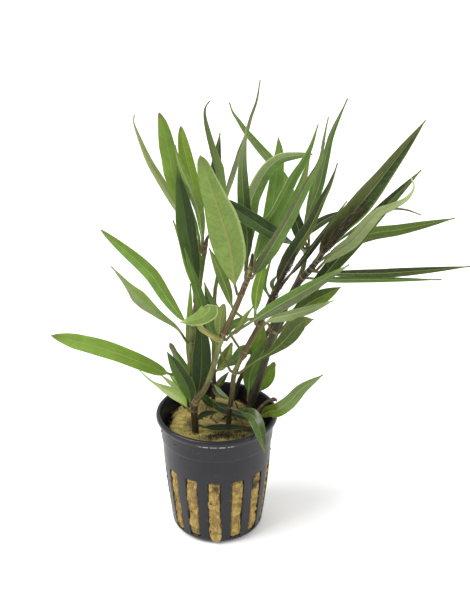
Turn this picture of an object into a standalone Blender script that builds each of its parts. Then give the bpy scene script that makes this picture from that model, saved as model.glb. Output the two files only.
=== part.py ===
"""Potted hygrophila: a slotted net pot, its rockwool plug, a twig and six leafy stems.

Every length is typed in millimetres and made metres as the meshes are built. +Z is up, the
origin is the middle of the pot's base and -Y is the front of the plant.
"""

import math

import bpy
import bmesh
import numpy as np

MM = 0.001
GAP = 0.3  # air left between pieces that touch

# Net pot
POT_HEIGHT = 55.6
RIM_RADIUS = 26.0
BASE_RADIUS = 19.3
WALL_RADIUS = 23.4  # outer radius under the collar
COLLAR_RADIUS = 23.9
COLLAR_FOOT = 44.6
RIM_FOOT = 52.8
WALL = 1.2
FLOOR = 1.5
WALL_CURVE = 1.62  # 1 is a straight taper, more makes the wall fuller below
WALL_SLOPE = 0.11  # slope of the wall above the collar's foot
CORNER = 3.2
SLOTS = 14
SLOT_FOOT = 3.2
SLOT_TOP = 33.5
SLOT_MIDDLE = 0.5 * (SLOT_FOOT + SLOT_TOP)
SLOT_SHARE = 0.54  # width of a slot as a share of the distance from slot to slot
SLOT_TURN = -92.5  # degrees, where the front slot stands
CELLS = 4  # cells round the wall for each slot and its bar
DRAIN_INNER = 7.0
DRAIN_OUTER = 13.0

# Rockwool plug
WOOL_TOP = 49.5
WOOL_SHOULDER = 1.2
WOOL_BULGE = 0.6  # how far the wool stays inside the outer face of a slot
WOOL_GAPS = ((175.0, 34.0, 2.6), (22.0, 46.0, 3.4))  # angle, half spread, depth
WOOL_GAP_FOOT = 36.0
WOOL_GAP_HEAD = 45.0

# Stems and leaves
STEM_SIDES = 7
STEM_RINGS = 15
LEAF_HALF_THICKNESS = 0.28
STALK_HALF_THICKNESS = 0.5
STALK_HALF_WIDTH = 0.55
LEAF_CLEARANCE = 0.95  # from the stem's skin to the start of a leaf's midrib
SMALL_LEAF_ROOT = 0.4  # share of the stem's radius where a fused leaf starts
CURVE_STEPS = 180
FACING = np.array((0.0, -0.9, 0.43))  # where the upper side of an unturned leaf looks
LEAF_STATIONS = (0.10, 0.22, 0.36, 0.50, 0.64, 0.77, 0.88, 0.95)
SMALL_STATIONS = (0.15, 0.40, 0.65, 0.85)
LONG_STALK = 0.5  # a stalk that takes more than this share of a leaf is bent
BENT_STATIONS = (0.22, 0.42, 0.58, 0.72, 0.82)  # shares of a bent stalk

# Linear base colour, roughness
FINISHES = {
    "pot": ((0.045, 0.047, 0.058), 0.45),
    "rockwool": ((0.42, 0.33, 0.11), 0.95),
    "twig": ((0.10, 0.07, 0.03), 0.85),
    "stem": ((0.18, 0.13, 0.06), 0.6),
    "leaf": ((0.10, 0.22, 0.04), 0.45),
    "pale_leaf": ((0.22, 0.33, 0.12), 0.5),
}


def clear_scene():
    for thing in list(bpy.data.objects):
        bpy.data.objects.remove(thing, do_unlink=True)


def finish_of(name, kind):
    colour, roughness = FINISHES[kind]
    material = bpy.data.materials.new(name)
    material.use_nodes = True
    shader = material.node_tree.nodes["Principled BSDF"]
    shader.inputs["Base Color"].default_value = (*colour, 1.0)
    shader.inputs["Roughness"].default_value = roughness
    shader.inputs["Metallic"].default_value = 0.0
    return material


def make_piece(name, kind, points, faces):
    """One closed mesh object from points in millimetres."""
    mesh = bpy.data.meshes.new(name)
    mesh.from_pydata([tuple(float(c) * MM for c in p) for p in points], [], faces)
    shape = bmesh.new()
    shape.from_mesh(mesh)
    bmesh.ops.recalc_face_normals(shape, faces=shape.faces)
    bmesh.ops.triangulate(shape, faces=shape.faces)
    shape.to_mesh(mesh)
    shape.free()
    mesh.shade_smooth()
    mesh.set_sharp_from_angle(angle=math.radians(35))
    mesh.materials.append(finish_of(name, kind))
    piece = bpy.data.objects.new(name, mesh)
    bpy.context.scene.collection.objects.link(piece)
    return piece


# Curves


def smooth_curve(points, count):
    """Points evenly spaced along a smooth curve through the given ones."""
    points = np.asarray(points, float)
    if len(points) == 2:
        return np.linspace(points[0], points[1], count)
    reach = np.concatenate(([0.0], np.cumsum(np.linalg.norm(np.diff(points, axis=0), axis=1))))
    ends = (2 * points[0] - points[1], 2 * points[-1] - points[-2])
    held = np.vstack((ends[0], points, ends[1]))
    places = np.concatenate(([-reach[1]], reach, [2 * reach[-1] - reach[-2]]))
    curve = []
    for s in np.linspace(0.0, reach[-1], count * 3):
        i = min(max(int(np.searchsorted(reach, s, side="right")), 1), len(points) - 1)
        step = places[i + 1] - places[i]
        x = (s - places[i]) / step
        out_slope = (held[i + 1] - held[i - 1]) / (places[i + 1] - places[i - 1])
        in_slope = (held[i + 2] - held[i]) / (places[i + 2] - places[i])
        curve.append(
            (2 * x**3 - 3 * x**2 + 1) * held[i]
            + (x**3 - 2 * x**2 + x) * step * out_slope
            + (3 * x**2 - 2 * x**3) * held[i + 1]
            + (x**3 - x**2) * step * in_slope
        )
    curve = np.array(curve)
    run = np.concatenate(([0.0], np.cumsum(np.linalg.norm(np.diff(curve, axis=0), axis=1))))
    even = np.linspace(0.0, run[-1], count)
    return np.stack([np.interp(even, run, curve[:, k]) for k in range(3)], axis=1)


def directions(curve):
    along = np.gradient(curve, axis=0)
    return along / np.linalg.norm(along, axis=1)[:, None]


def turned(vector, axis, degrees):
    a = math.radians(degrees)
    return (
        vector * math.cos(a)
        + np.cross(axis, vector) * math.sin(a)
        + axis * np.dot(axis, vector) * (1 - math.cos(a))
    )


def tube(curve, radii, sides):
    """A round closed tube, its first ring level so that it stands on a flat surface."""
    along = directions(curve)
    along[0] = (0.0, 0.0, 1.0)
    side = np.array((1.0, 0.0, 0.0))
    points, faces = [], []
    for centre, axis, radius in zip(curve, along, radii):
        side = side - axis * np.dot(side, axis)
        side /= np.linalg.norm(side)
        up = np.cross(axis, side)
        for k in range(sides):
            a = 2 * math.pi * k / sides
            points.append(centre + radius * (math.cos(a) * side + math.sin(a) * up))
    for j in range(len(curve) - 1):
        for k in range(sides):
            low, high = j * sides, (j + 1) * sides
            n = (k + 1) % sides
            faces.append((low + k, low + n, high + n, high + k))
    faces.append(tuple(range(sides)))
    faces.append(tuple(range((len(curve) - 1) * sides, len(curve) * sides)))
    return points, faces


# Net pot


def column_angle(column):
    """Columns run round the pot; columns 0 to 2 of each group of four bound a slot."""
    group, place = divmod(column, CELLS)
    share = (-0.5 * SLOT_SHARE, 0.0, 0.5 * SLOT_SHARE, 0.5)[place]
    return math.radians(SLOT_TURN + (group + share) * 360.0 / SLOTS)


def in_slot(column):
    return column % CELLS < 2


def wall_radius(height):
    """Outer radius of the tapered wall."""
    below = max(1.0 - height / COLLAR_FOOT, 0.0)
    above = max(height - COLLAR_FOOT, 0.0)
    return WALL_RADIUS - (WALL_RADIUS - BASE_RADIUS) * below**WALL_CURVE + WALL_SLOPE * above


def net_pot():
    """The wall is one sheet of rings folded over the rim, pierced at every slot."""
    columns = SLOTS * CELLS
    outer_foot = wall_radius(SLOT_FOOT)
    outer_middle = wall_radius(SLOT_MIDDLE)
    outer_top = wall_radius(SLOT_TOP)
    rings = [
        (DRAIN_INNER, 0.0),
        (DRAIN_OUTER, 0.0),
        (BASE_RADIUS - CORNER, 0.0),
        (BASE_RADIUS - 0.3 * CORNER, 0.3 * CORNER),
        (outer_foot, SLOT_FOOT),
        (outer_middle, SLOT_MIDDLE),
        (outer_top, SLOT_TOP),
        (WALL_RADIUS, COLLAR_FOOT),
        (COLLAR_RADIUS, COLLAR_FOOT + 0.4),
        (COLLAR_RADIUS + 0.5, RIM_FOOT),
        (RIM_RADIUS - 0.2, RIM_FOOT + 0.5),
        (RIM_RADIUS, POT_HEIGHT - 1.0),
        (RIM_RADIUS - 0.6, POT_HEIGHT),
        (RIM_RADIUS - 1.6, POT_HEIGHT),
        (COLLAR_RADIUS - WALL + 0.3, RIM_FOOT),
        (outer_top - WALL, SLOT_TOP),
        (outer_middle - WALL, SLOT_MIDDLE),
        (outer_foot - WALL, SLOT_FOOT),
        (outer_foot - WALL - 1.1, FLOOR),
        (DRAIN_OUTER, FLOOR),
        (DRAIN_INNER, FLOOR),
    ]
    # A slot joins outer rings to the inner rings behind them, both named from the slot's foot up.
    slot_rings = (((4, 5, 6), (17, 16, 15)), ((0, 1), (20, 19)))
    points = []
    for radius, height in rings:
        for column in range(columns):
            a = column_angle(column)
            points.append((radius * math.cos(a), radius * math.sin(a), height))
    under, over = len(points), len(points) + 1
    points += [(0.0, 0.0, 0.0), (0.0, 0.0, FLOOR)]

    def at(ring, column):
        return ring * columns + column % columns

    def pierced(band, column):
        if band in (4, 5, 15, 16):
            return in_slot(column)
        if band in (0, 19):
            return in_slot(column) and (column // CELLS) % 2 == 0
        return False

    faces = []
    for band in range(len(rings) - 1):
        for c in range(columns):
            if not pierced(band, c):
                faces.append((at(band, c), at(band, c + 1), at(band + 1, c + 1), at(band + 1, c)))
    for c in range(columns):
        faces.append((under, at(0, c + 1), at(0, c)))
        faces.append((over, at(len(rings) - 1, c), at(len(rings) - 1, c + 1)))
    for outer, inner in slot_rings:
        for c in range(columns):
            if not pierced(outer[0], c):
                continue
            for out, back in ((outer[0], inner[0]), (outer[-1], inner[-1])):
                faces.append((at(out, c), at(back, c), at(back, c + 1), at(out, c + 1)))
            for edge, beyond in ((c, c - 1), (c + 1, c + 1)):
                if pierced(outer[0], beyond % columns):
                    continue
                for low in range(len(outer) - 1):
                    high = low + 1
                    front = (at(outer[low], edge), at(outer[high], edge))
                    rear = (at(inner[high], edge), at(inner[low], edge))
                    faces.append(front + rear)
    return make_piece("net_pot", "pot", points, faces)


# Rockwool plug


def gap_depth(angle):
    """How far the plug's side stands back from the pot at this angle, in its upper part."""
    depth = 0.0
    for middle, spread, most in WOOL_GAPS:
        off = (angle - middle + 180.0) % 360.0 - 180.0
        if abs(off) < spread:
            depth += most * math.cos(math.pi / 2 * off / spread) ** 0.5
    return depth


def rockwool():
    """A plug that fills the pot, with a low rib of wool standing in every slot."""
    half_slot = 0.5 * SLOT_SHARE * 360.0 / SLOTS
    side_air = math.degrees(GAP / BASE_RADIUS)
    # level: height, rib stands out here, share of the side gaps
    levels = (
        (FLOOR + GAP, False, 0.0),
        (SLOT_FOOT + GAP, False, 0.0),
        (SLOT_FOOT + GAP + 0.1, True, 0.0),
        (SLOT_MIDDLE, True, 0.0),
        (SLOT_TOP - GAP - 0.1, True, 0.0),
        (SLOT_TOP - GAP, False, 0.0),
        (WOOL_GAP_FOOT, False, 0.0),
        (WOOL_GAP_HEAD, False, 1.0),
        (WOOL_TOP - WOOL_SHOULDER, False, 1.0),
    )
    angles = []
    for slot in range(SLOTS):
        middle = SLOT_TURN + slot * 360.0 / SLOTS
        for off, rib in ((-1, False), (-1, True), (1, True), (1, False)):
            spread = half_slot - side_air * (2 if rib else 1)
            angles.append((middle + off * spread, rib))
    count = len(angles)
    points, faces = [], []
    for height, ribs, share in levels:
        inside = wall_radius(max(height, SLOT_FOOT)) - WALL - GAP
        if height < SLOT_FOOT:
            inside -= 1.0
        for angle, rib in angles:
            radius = inside - share * gap_depth(angle)
            if ribs and rib:
                radius = wall_radius(height) - WOOL_BULGE
            a = math.radians(angle)
            points.append((radius * math.cos(a), radius * math.sin(a), height))
    for inset, height in ((0.6, WOOL_TOP), (6.0, WOOL_TOP)):
        for angle, rib in angles:
            radius = wall_radius(WOOL_TOP) - WALL - GAP - gap_depth(angle) - inset
            a = math.radians(angle)
            points.append((radius * math.cos(a), radius * math.sin(a), height))
    rows = len(levels) + 2
    for row in range(rows - 1):
        for k in range(count):
            n = (k + 1) % count
            low, high = row * count, (row + 1) * count
            faces.append((low + k, low + n, high + n, high + k))
    faces.append(tuple(range(count)))
    faces.append(tuple(range((rows - 1) * count, rows * count)))
    return make_piece("rockwool", "rockwool", points, faces)


def twig():
    """A dead twig that lies across the back right of the rim."""
    route = ((17.5, 8, WOOL_TOP + 0.5), (21, 7, 55), (23.5, 6, 57.4), (25.4, 5, 58.2))
    curve = smooth_curve(route, 6)
    radii = np.linspace(0.9, 0.7, len(curve))
    return make_piece("twig", "twig", *tube(curve, radii, STEM_SIDES))


# Stems: the foot on the wool, the points above it, and the radius at foot, middle and tip

STEMS = {
    "stem_front": {
        "foot": (-9.0, -8.0),
        "route": ((-9, -9, 64), (-5, -10, 71.5), (-2, -11.5, 80), (1.5, -13, 94.5), (8, -15, 111.5),
                  (11.5, -16, 121.5), (13.5, -17, 128), (14.5, -17, 136)),
        "radii": (1.35, 1.35, 1.25, 1.2, 1.15, 1.15, 1.1, 1.0, 0.4),
    },
    "stem_middle": {
        "foot": (5.0, -3.0),
        "route": ((5.5, -3, 57.5), (6.5, -3, 65), (7.5, -3, 75), (12, -3.5, 86.5), (17.5, -4, 98),
                  (23.5, -5, 113.5), (26, -5.5, 120), (29, -6, 125.5)),
        "radii": (1.05, 1.05, 1.05, 1.05, 1.05, 1.1, 1.05, 0.95, 0.5),
    },
    "stem_left": {
        "foot": (-13.5, 13.0),
        "route": ((-13, 13, 58), (-11.5, 12.5, 70.5), (-10, 12, 89.5), (-8.5, 12, 99.5), (-7, 12, 110),
                  (-5.5, 13, 120), (-4, 13, 128.5), (-3, 13, 131.5)),
        "radii": (1.5, 1.5, 1.4, 1.3, 1.2, 1.0, 1.0, 0.8, 0.4),
    },
    "stem_back": {
        "foot": (-2.0, 17.0),
        "route": ((-1.5, 17, 56), (-1.5, 17, 76), (-1, 17, 98.5), (0, 17, 108.5), (4, 17, 122), (4, 17, 128.5)),
        "radii": (0.9, 0.9, 0.85, 0.8, 0.8, 0.8, 0.4),
    },
    "stem_rear": {
        "foot": (7.5, 19.5),
        "route": ((9.5, 20, 58.5), (12.5, 20.5, 64.5), (15.5, 20.5, 70.5), (25, 19.5, 89), (35.5, 18, 111.5),
                  (37.5, 17, 122), (38.5, 16, 126.5)),
        "radii": (1.0, 1.0, 1.0, 1.1, 1.0, 1.0, 1.0, 0.5),
    },
    "stem_right": {
        "foot": (14.0, 9.0),
        "route": ((15.5, 9, 56.5), (17.5, 8.5, 63), (20, 8, 73), (23, 7, 86), (25.5, 6, 93.5), (33, 3, 113),
                  (38.5, 1, 121.5), (40.5, 0, 125), (45.5, -1, 133.5), (51, -2, 142)),
        "radii": (1.8, 1.7, 1.6, 1.5, 1.5, 1.4, 1.3, 1.2, 1.1, 0.8, 0.3),
    },
}


class Stem:
    def __init__(self, foot, route, radii):
        held = [(*foot, WOOL_TOP + GAP), *route]
        self.curve = smooth_curve(held, CURVE_STEPS)
        spans = np.linalg.norm(np.diff(np.asarray(held, float), axis=0), axis=1)
        marks = np.concatenate(([0.0], np.cumsum(spans))) / spans.sum()
        self.radii = np.interp(np.linspace(0.0, 1.0, CURVE_STEPS), marks, radii)
        self.along = directions(self.curve)

    def solid(self):
        rows = np.linspace(0, CURVE_STEPS - 1, STEM_RINGS).round().astype(int)
        return tube(self.curve[rows], self.radii[rows], STEM_SIDES)

    def beside(self, height, towards, share=None):
        """The point beside the stem at this height, on the side that faces a leaf."""
        i = int(np.argmin(np.abs(self.curve[:, 2] - height)))
        out = np.asarray(towards, float) - self.curve[i]
        out -= self.along[i] * np.dot(out, self.along[i])
        out /= np.linalg.norm(out)
        reach = self.radii[i] + LEAF_CLEARANCE if share is None else self.radii[i] * share
        return self.curve[i] + out * reach


# Leaves: height on the stem, then the points of the midrib up to the tip, the full width, the
# turn of the blade (180 shows its underside), how much it twists to the tip, how far its halves
# fold up, the share of its length that is stalk, and the shape of its outline.


def leaf(height, *route, width, turn=0, twist=0, fold=12, stalk=0.10, swell=0.72, taper=0.85, blunt=0.0):
    return {
        "height": height, "route": route, "width": width, "turn": turn, "twist": twist, "fold": fold,
        "stalk": stalk, "swell": swell, "taper": taper, "blunt": blunt,
    }


LEAVES = {
    "stem_front": (
        leaf(53, (-4.5, -8, 52), (5, -8, 52), (15.5, -8, 51.8), width=4.6, turn=-60, fold=6, stalk=0.08),
        leaf(61, (-14.5, -11.5, 68), (-21, -14, 74.5), (-26, -17, 79.5), (-30.5, -20, 86),
             width=6.2, turn=10, twist=-70, fold=5, swell=0.55, taper=1.1),
        leaf(64, (-11.5, -13.5, 74), (-15.5, -19, 86.5), (-19, -24, 96.5),
             width=7.5, turn=-10, fold=14, stalk=0.08, swell=0.95, taper=0.6, blunt=0.35),
        leaf(65, (-7, -7.5, 72.5), (-6, -6, 88), (-6.5, -4, 106), width=8, turn=8, stalk=0.06),
        leaf(96, (1.5, -11, 99.5), (2, -10, 105), (3.5, -9, 110.5),
             width=5.4, turn=-25, fold=8, swell=0.95, taper=0.55, blunt=0.4),
        leaf(96.5, (-2.9, -15.4, 100.4), (-6, -16.2, 103.6), (-5.8, -16.6, 107.7), (-4.3, -16.9, 111.4),
             (-2.5, -17.6, 113.1), (-2.2, -18.6, 112.4), (-3.7, -19.2, 110.9), (-5.6, -19.7, 109.7),
             (-8, -20.2, 108.9), (-10.9, -20.6, 108.4), (-14.1, -21, 108.2),
             width=7.3, fold=4, stalk=0.57, swell=0.65, taper=0.75),
        leaf(97.5, (6.5, -15.5, 100), (20.5, -22.5, 113.5), (36, -30.5, 127.5), (50, -37, 140),
             width=5.6, stalk=0.24),
        leaf(118, (7.5, -19.5, 125), (6, -25.5, 141), (3, -30.5, 154.5), (-1, -37.5, 170.5),
             (-4.5, -42, 184), width=14, turn=180, fold=6, stalk=0.08, swell=0.6, taper=0.72),
        leaf(122, (18.2, -13, 139.9), (21.1, -9.5, 147.1), (22.4, -6, 152.6), (23.5, -3, 158.4),
             (24.1, -1, 164.5), (24.8, 1, 170.6), (24.5, 2.5, 176.2), width=6.4, turn=10, fold=10,
             swell=1.25, taper=0.7),
        leaf(124, (13, -11, 135), (14, -7.5, 153.2), (16.3, -5.5, 158.8), (19.7, -4.8, 164.9),
             (22.7, -4.5, 168.2), (26.1, -4.8, 170.5), (31.1, -5.4, 171.6), (37.4, -6, 172.4), width=6,
             fold=8, stalk=0.20, taper=0.6),
        leaf(128, (12.5, -16.5, 141), (11, -17, 157.5), (10.5, -17.5, 172.5), (12, -19, 187.5),
             width=5.4, turn=15, twist=10, stalk=0.06),
        leaf(126.5, (18.5, -22.5, 135), (28.5, -28, 156.5), (33.5, -30, 168.5), (38, -32.5, 179),
             (39, -34.5, 187), (40.5, -36, 196),
             width=6.4, turn=30, twist=30, fold=18, stalk=0.05, swell=0.55),
        leaf(129, (16, -18, 136.5), (20, -18.9, 149.5), (23.2, -19.1, 154.9), (26, -19.4, 160.8),
             (29, -19.8, 167.5), (32.6, -20, 173.5), (35.7, -20, 179.9), (38.4, -20, 188.2), width=6,
             turn=40, fold=25, stalk=0.08),
        leaf(130.5, (19.5, -15, 137.5), (25.5, -13, 147), (32, -9, 157.5), (36.5, -5, 171.5),
             width=5.6, turn=20),
    ),
    "stem_middle": (
        leaf(59, (12, -10, 60.5), (15, -15, 62), (17, -19, 60.5), (18.5, -22, 56.5), (19.5, -23.5, 52.5),
             (20, -24, 49.5), width=5.6, fold=10, stalk=0.12, swell=0.8),
        leaf(75.5, (2, -1, 83.5), (-1.5, 0, 92), (-6.5, 0, 108), (-12.5, 0, 131),
             width=5.2, turn=20, fold=10, stalk=0.14),
        leaf(76.5, (15.5, -8.5, 83.5), (22, -14, 91), (27, -19.5, 99), (33, -26.5, 110.5), (37.5, -31, 114.5),
             width=7.6, fold=14, stalk=0.22, swell=0.9, taper=0.8, blunt=0.25),
        leaf(86, (5.5, -5.5, 95.5), (0.5, -6.5, 104.5), (-2.5, -7, 111), (-4.5, -7, 119),
             width=4.6, turn=15, fold=10, stalk=0.35),
        leaf(98.5, (22, -8.5, 103), (30, -15, 108.5), (37.5, -21, 114), (45.5, -28, 121),
             width=4.8, turn=150, fold=10),
        leaf(98.5, (16, -7, 107.5), (17, -9.5, 119), (20.5, -11, 134), width=4.6, turn=180, fold=8, stalk=0.20),
        leaf(114.5, (27, -7.5, 124.5), (31.6, -10.8, 134.9), (36.7, -13, 144.7), (39.4, -14.2, 151.6),
             (41.5, -16, 157.9), (43.4, -18.5, 164), (44.7, -21, 169.8), (45.5, -23, 174.7), width=5.6,
             turn=-30, fold=30, stalk=0.08),
        leaf(115, (30, -2.5, 120.5), (36, 1, 127), (53, 12, 146.5), width=3.6, turn=40, fold=20, stalk=0.14),
    ),
    "stem_left": (
        leaf(64.5, (-17.5, 9.5, 67.5), (-23, 5, 72), (-32.5, -1.5, 80.5), (-47.5, -10.5, 91.5),
             (-65, -20, 101.5), width=8.2, twist=15, fold=14, stalk=0.14, swell=0.66),
        leaf(82.5, (-16.5, 9.5, 90.5), (-23.5, 4, 100), (-30, -0.5, 108.5), (-41, -11, 128),
             width=6.4, fold=20, swell=0.9),
        leaf(90.5, (-14.5, 13.5, 93), (-20.5, 18, 100.5), (-28.5, 23, 110.5), (-49.5, 33, 126),
             width=5.6, fold=8, stalk=0.04, swell=0.75, taper=0.6),
        leaf(102, (-9, 8, 115.5), (-11.2, 4.5, 134.3), (-12.6, 1, 149), (-14, -1, 159.3),
             (-14.7, -2, 166.3), width=8.4, turn=-5, fold=18, swell=0.9),
        leaf(123.5, (-9.5, 16.5, 128), (-14.2, 21.5, 136.5), (-18.4, 24.5, 142.7), (-22.9, 27.5, 149.9),
             (-27.1, 30.5, 156.2), (-30.1, 33.5, 161.9), (-32.5, 36, 167.1), (-34.2, 38, 171.6),
             (-34, 39, 174.6), width=4, turn=25, fold=20),
        leaf(123.5, (-7.5, 12, 133), (-12, 8.5, 145.5), (-16.9, 5.5, 159.9), (-17.8, 4.8, 167.7),
             (-18.6, 4.2, 172.5), (-19.3, 3.4, 177.2), (-20.1, 2.6, 181.9), (-21.3, 2, 186.3), width=7,
             turn=-10, fold=8, stalk=0.12, swell=1.35, taper=0.55),
        leaf(124.5, (-5.8, 8.5, 134.9), (-6.7, 5, 144.5), (-9.1, 1, 153.9), (-11.4, -3, 161.8),
             (-13.7, -7, 170), (-14.9, -10, 177.4), width=4.6, turn=150, fold=15),
        leaf(126.5, (-5.5, 15.5, 133.5), (-7.9, 18.8, 146.3), (-10.2, 21.5, 153.5), (-12.4, 24.5, 161.1),
             (-13.7, 27.5, 167.2), (-14.4, 30, 172.3), width=6, fold=8, stalk=0.12, swell=1.3,
             taper=0.55),
    ),
    "stem_back": (
        leaf(51.2, (0.5, 9, 52.5), (5, 4, 53), (10, 0, 53), (14.5, -3, 52.5),
             width=5.2, turn=-30, fold=8, stalk=0.08),
        leaf(122, (1, 20, 137.5), (0, 28, 154), (1.5, 36, 167.5), width=4.2, fold=10, stalk=0.12),
        leaf(123, (2.5, 14, 139.5), (1.4, 10.5, 159.4), (0.1, 9.5, 165.2), (-1.1, 9, 170),
             (-2.5, 8.6, 175.6), (-3.6, 8.2, 181.1), (-3.9, 8, 185), (-3.3, 8, 187.4), (-2, 8, 189.2),
             width=4.6, turn=65, fold=20),
        leaf(124, (3.8, 19.5, 133.5), (3, 21.8, 141.9), (4.5, 24.5, 147.6), (6.1, 27, 152),
             (8, 30, 157.3), (9.6, 32.5, 161.3), (11.6, 35, 165.7), (14, 38, 173.5), (16.6, 40.5, 180.2),
             (18.2, 42, 188.5), width=4.4, turn=60, fold=20),
    ),
    "stem_rear": (
        leaf(71, (17, 17.5, 76.5), (18.5, 16, 82), (20, 15, 89.5), width=5.2, fold=10),
        leaf(122, (35.5, 8, 126.7), (33.3, 2, 130.8), (30.1, -5, 135.3), (26.3, -13.5, 140.7),
             (22.2, -21.2, 146.2), (18.7, -22.8, 148.9), (14.1, -22.6, 152), (4.8, -22, 158.2),
             (-0.5, -21, 161.2), width=6.4, turn=10, fold=14, stalk=0.15, swell=2.0, taper=0.8),
        leaf(122.5, (35, 16.2, 128.8), (32.5, 15, 137.3), (29, 13.5, 148.3), width=5.6, fold=14),
        leaf(123, (34, 19, 134.5), (30.8, 22, 144.9), (27.4, 24, 151.9), (24.6, 24.8, 155),
             (21.9, 25.5, 159.1), (18.7, 26.3, 162.6), (15, 27, 167.1), (11.8, 28, 171),
             (9.2, 28.8, 174.8), (6.7, 29.5, 178.4), (5.5, 30, 182.3), width=5, turn=-30, fold=18),
        leaf(123.5, (37.4, 24, 125.4), (39.4, 27, 127.2), (43.6, 31, 129.2), (47.6, 34, 130.4),
             (51.6, 37, 131.1), (55.4, 40, 131.8), width=4.2, turn=-20, stalk=0.20),
        leaf(125.5, (37, 12.5, 138), (41.5, 13, 152), (44, 13.5, 164.5), (46, 14.5, 173.5),
             (52, 16, 188), width=3.7, turn=15, fold=14),
    ),
    "stem_right": (
        leaf(51.2, (18.5, 1, 52.5), (22, -5, 58), (25.5, -9.5, 61.5), (30, -11.5, 66.5), (35, -15, 75),
             (43, -19, 83.5), width=5, twist=10, swell=0.9),
        leaf(53.5, (14.5, 13.5, 66.5), (18.5, 13, 75), (27.5, 10, 91), width=4.2),
        leaf(90.5, (28.9, 7, 96), (36, 6, 105.1), (44.8, 4.8, 117.8), (65.7, 6.5, 144.3), (81.5, 10, 161),
             width=6.6, stalk=0.14, swell=0.9),
        leaf(90, (21.5, 4, 95), (11, 3, 98.5), (7, 3, 102.5), (4.5, 1, 112), (1.5, -2, 122), (-2.5, -5, 133),
             width=4.6, turn=180, stalk=0.42, swell=0.8),
        leaf(91, (31, 1.5, 98.5), (36.5, -2.5, 106.5), (49.5, -12, 119), width=6.4, fold=10, swell=0.95),
        leaf(120, (45, 11, 115.2), (56, 16.5, 112.3), (73.5, 22, 110.5), (110, 33, 109), width=4.2,
             turn=15, stalk=0.14),
        leaf(122, (46, -2.5, 128.5), (54, -5.5, 136.5), (63, -9.5, 150), (71.5, -11.5, 160), (74, -13, 166),
             width=6.4, turn=150, fold=15, stalk=0.08, swell=0.85),
        leaf(124.5, (50.5, 9, 127.5), (63.5, 17, 130.5), (76.5, 21.5, 130.5), (100.5, 29, 132.5),
             width=5.6, turn=10, fold=15),
        leaf(126, (43.2, -4.5, 133.8), (49.1, -8.5, 145.2), (53.5, -12, 152.1), (57.4, -15.5, 158.9),
             (61.6, -19, 166.3), (75.6, -30, 193.1), width=9.6, fold=32, stalk=0.06, swell=0.68),
        leaf(129, (52, 6.5, 133.5), (63, 13.5, 139), (71, 17.5, 141), (78, 19.5, 140), (85, 22, 136.5),
             width=3.6, turn=70, fold=15),
    ),
}

# Small leaves that are one body with their stem

SMALL_LEAVES = {
    "stem_front": (
        leaf(55, (-5.5, -5.5, 57), (0.5, -4.5, 57.5), width=2.6, fold=8),
        leaf(66, (-5.5, -7, 66), (-1.5, -4, 59), width=3.4),
        leaf(99.5, (8, -13, 100), (12, -12, 106.5), (15, -11.5, 110.5), width=2.4, fold=8),
    ),
    "stem_middle": (
        leaf(102, (11.5, -4, 100.5), (6.5, -8, 100), (4.5, -9, 96), width=3.6, fold=8, stalk=0.30),
        leaf(111, (19.5, -6, 117.5), (22, -7, 129), width=1.8, fold=8),
        leaf(114, (22.5, -6.5, 118.5), (24.5, -8, 122.5), width=1.8, fold=8),
    ),
    "stem_left": (
        leaf(52, (-18, 14.5, 58), (-25, 15, 65), width=2.6, turn=30, fold=8),
        leaf(53.5, (-15.5, 15.5, 57), (-21.5, 18, 64), width=2.8, fold=8),
        leaf(60.5, (-13.5, 8.5, 70), (-17, 5, 79.5), (-19.5, 3, 86.5), width=3.2, fold=10, swell=0.9),
        leaf(65.5, (-12, 14.5, 76), (-11.5, 15.5, 93.5), (-11, 16, 108), width=3.4, fold=8),
        leaf(104, (-12, 16, 116.5), (-14.5, 18, 126), (-18, 20, 135), width=3.2, fold=8),
        leaf(109.5, (-6.5, 10, 117), (-6.5, 9, 125.5), width=2.4, fold=8),
    ),
    "stem_back": (
        leaf(56.5, (1, 16, 60), (5, 15, 66), width=3, fold=8),
        leaf(59, (0.5, 12, 57.5), (5, 8, 57), width=3.6, fold=8),
        leaf(65, (2, 14, 69.5), (6.5, 12, 82), width=3.6, fold=8, swell=0.95),
    ),
    "stem_rear": (
        leaf(71.5, (12, 16, 76), (7.5, 11, 74), (1, 8, 72.5), width=4.2),
        leaf(126.5, (38, 19, 135.5), (41, 21, 154.5), (44, 22, 168), width=3.2, fold=8),
    ),
    "stem_right": (
        leaf(55.5, (16.5, 13, 58.5), (21, 13, 65), (24.5, 13, 72.5), width=4.8, fold=10, swell=0.95),
        leaf(117, (47.5, 17, 109.5), (64, 25, 106), (98, 34, 102), width=2.2, turn=10, fold=10),
    ),
}


def half_width(form, share):
    """Half the blade's width at a share of its length, never less than the stalk's."""
    u = min(max((share - form["stalk"]) / (1 - form["stalk"]), 0.0), 1.0)
    half = form["width"] / 2 * math.sin(math.pi * u ** form["swell"]) ** form["taper"]
    if form["blunt"] and u > 0.5:
        end = min((1 - u) / 0.06, 1.0) ** 0.5
        half = max(half, form["width"] / 2 * form["blunt"] * end)
    return max(half, STALK_HALF_WIDTH * min((1 - u) / 0.3, 1.0))


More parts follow.
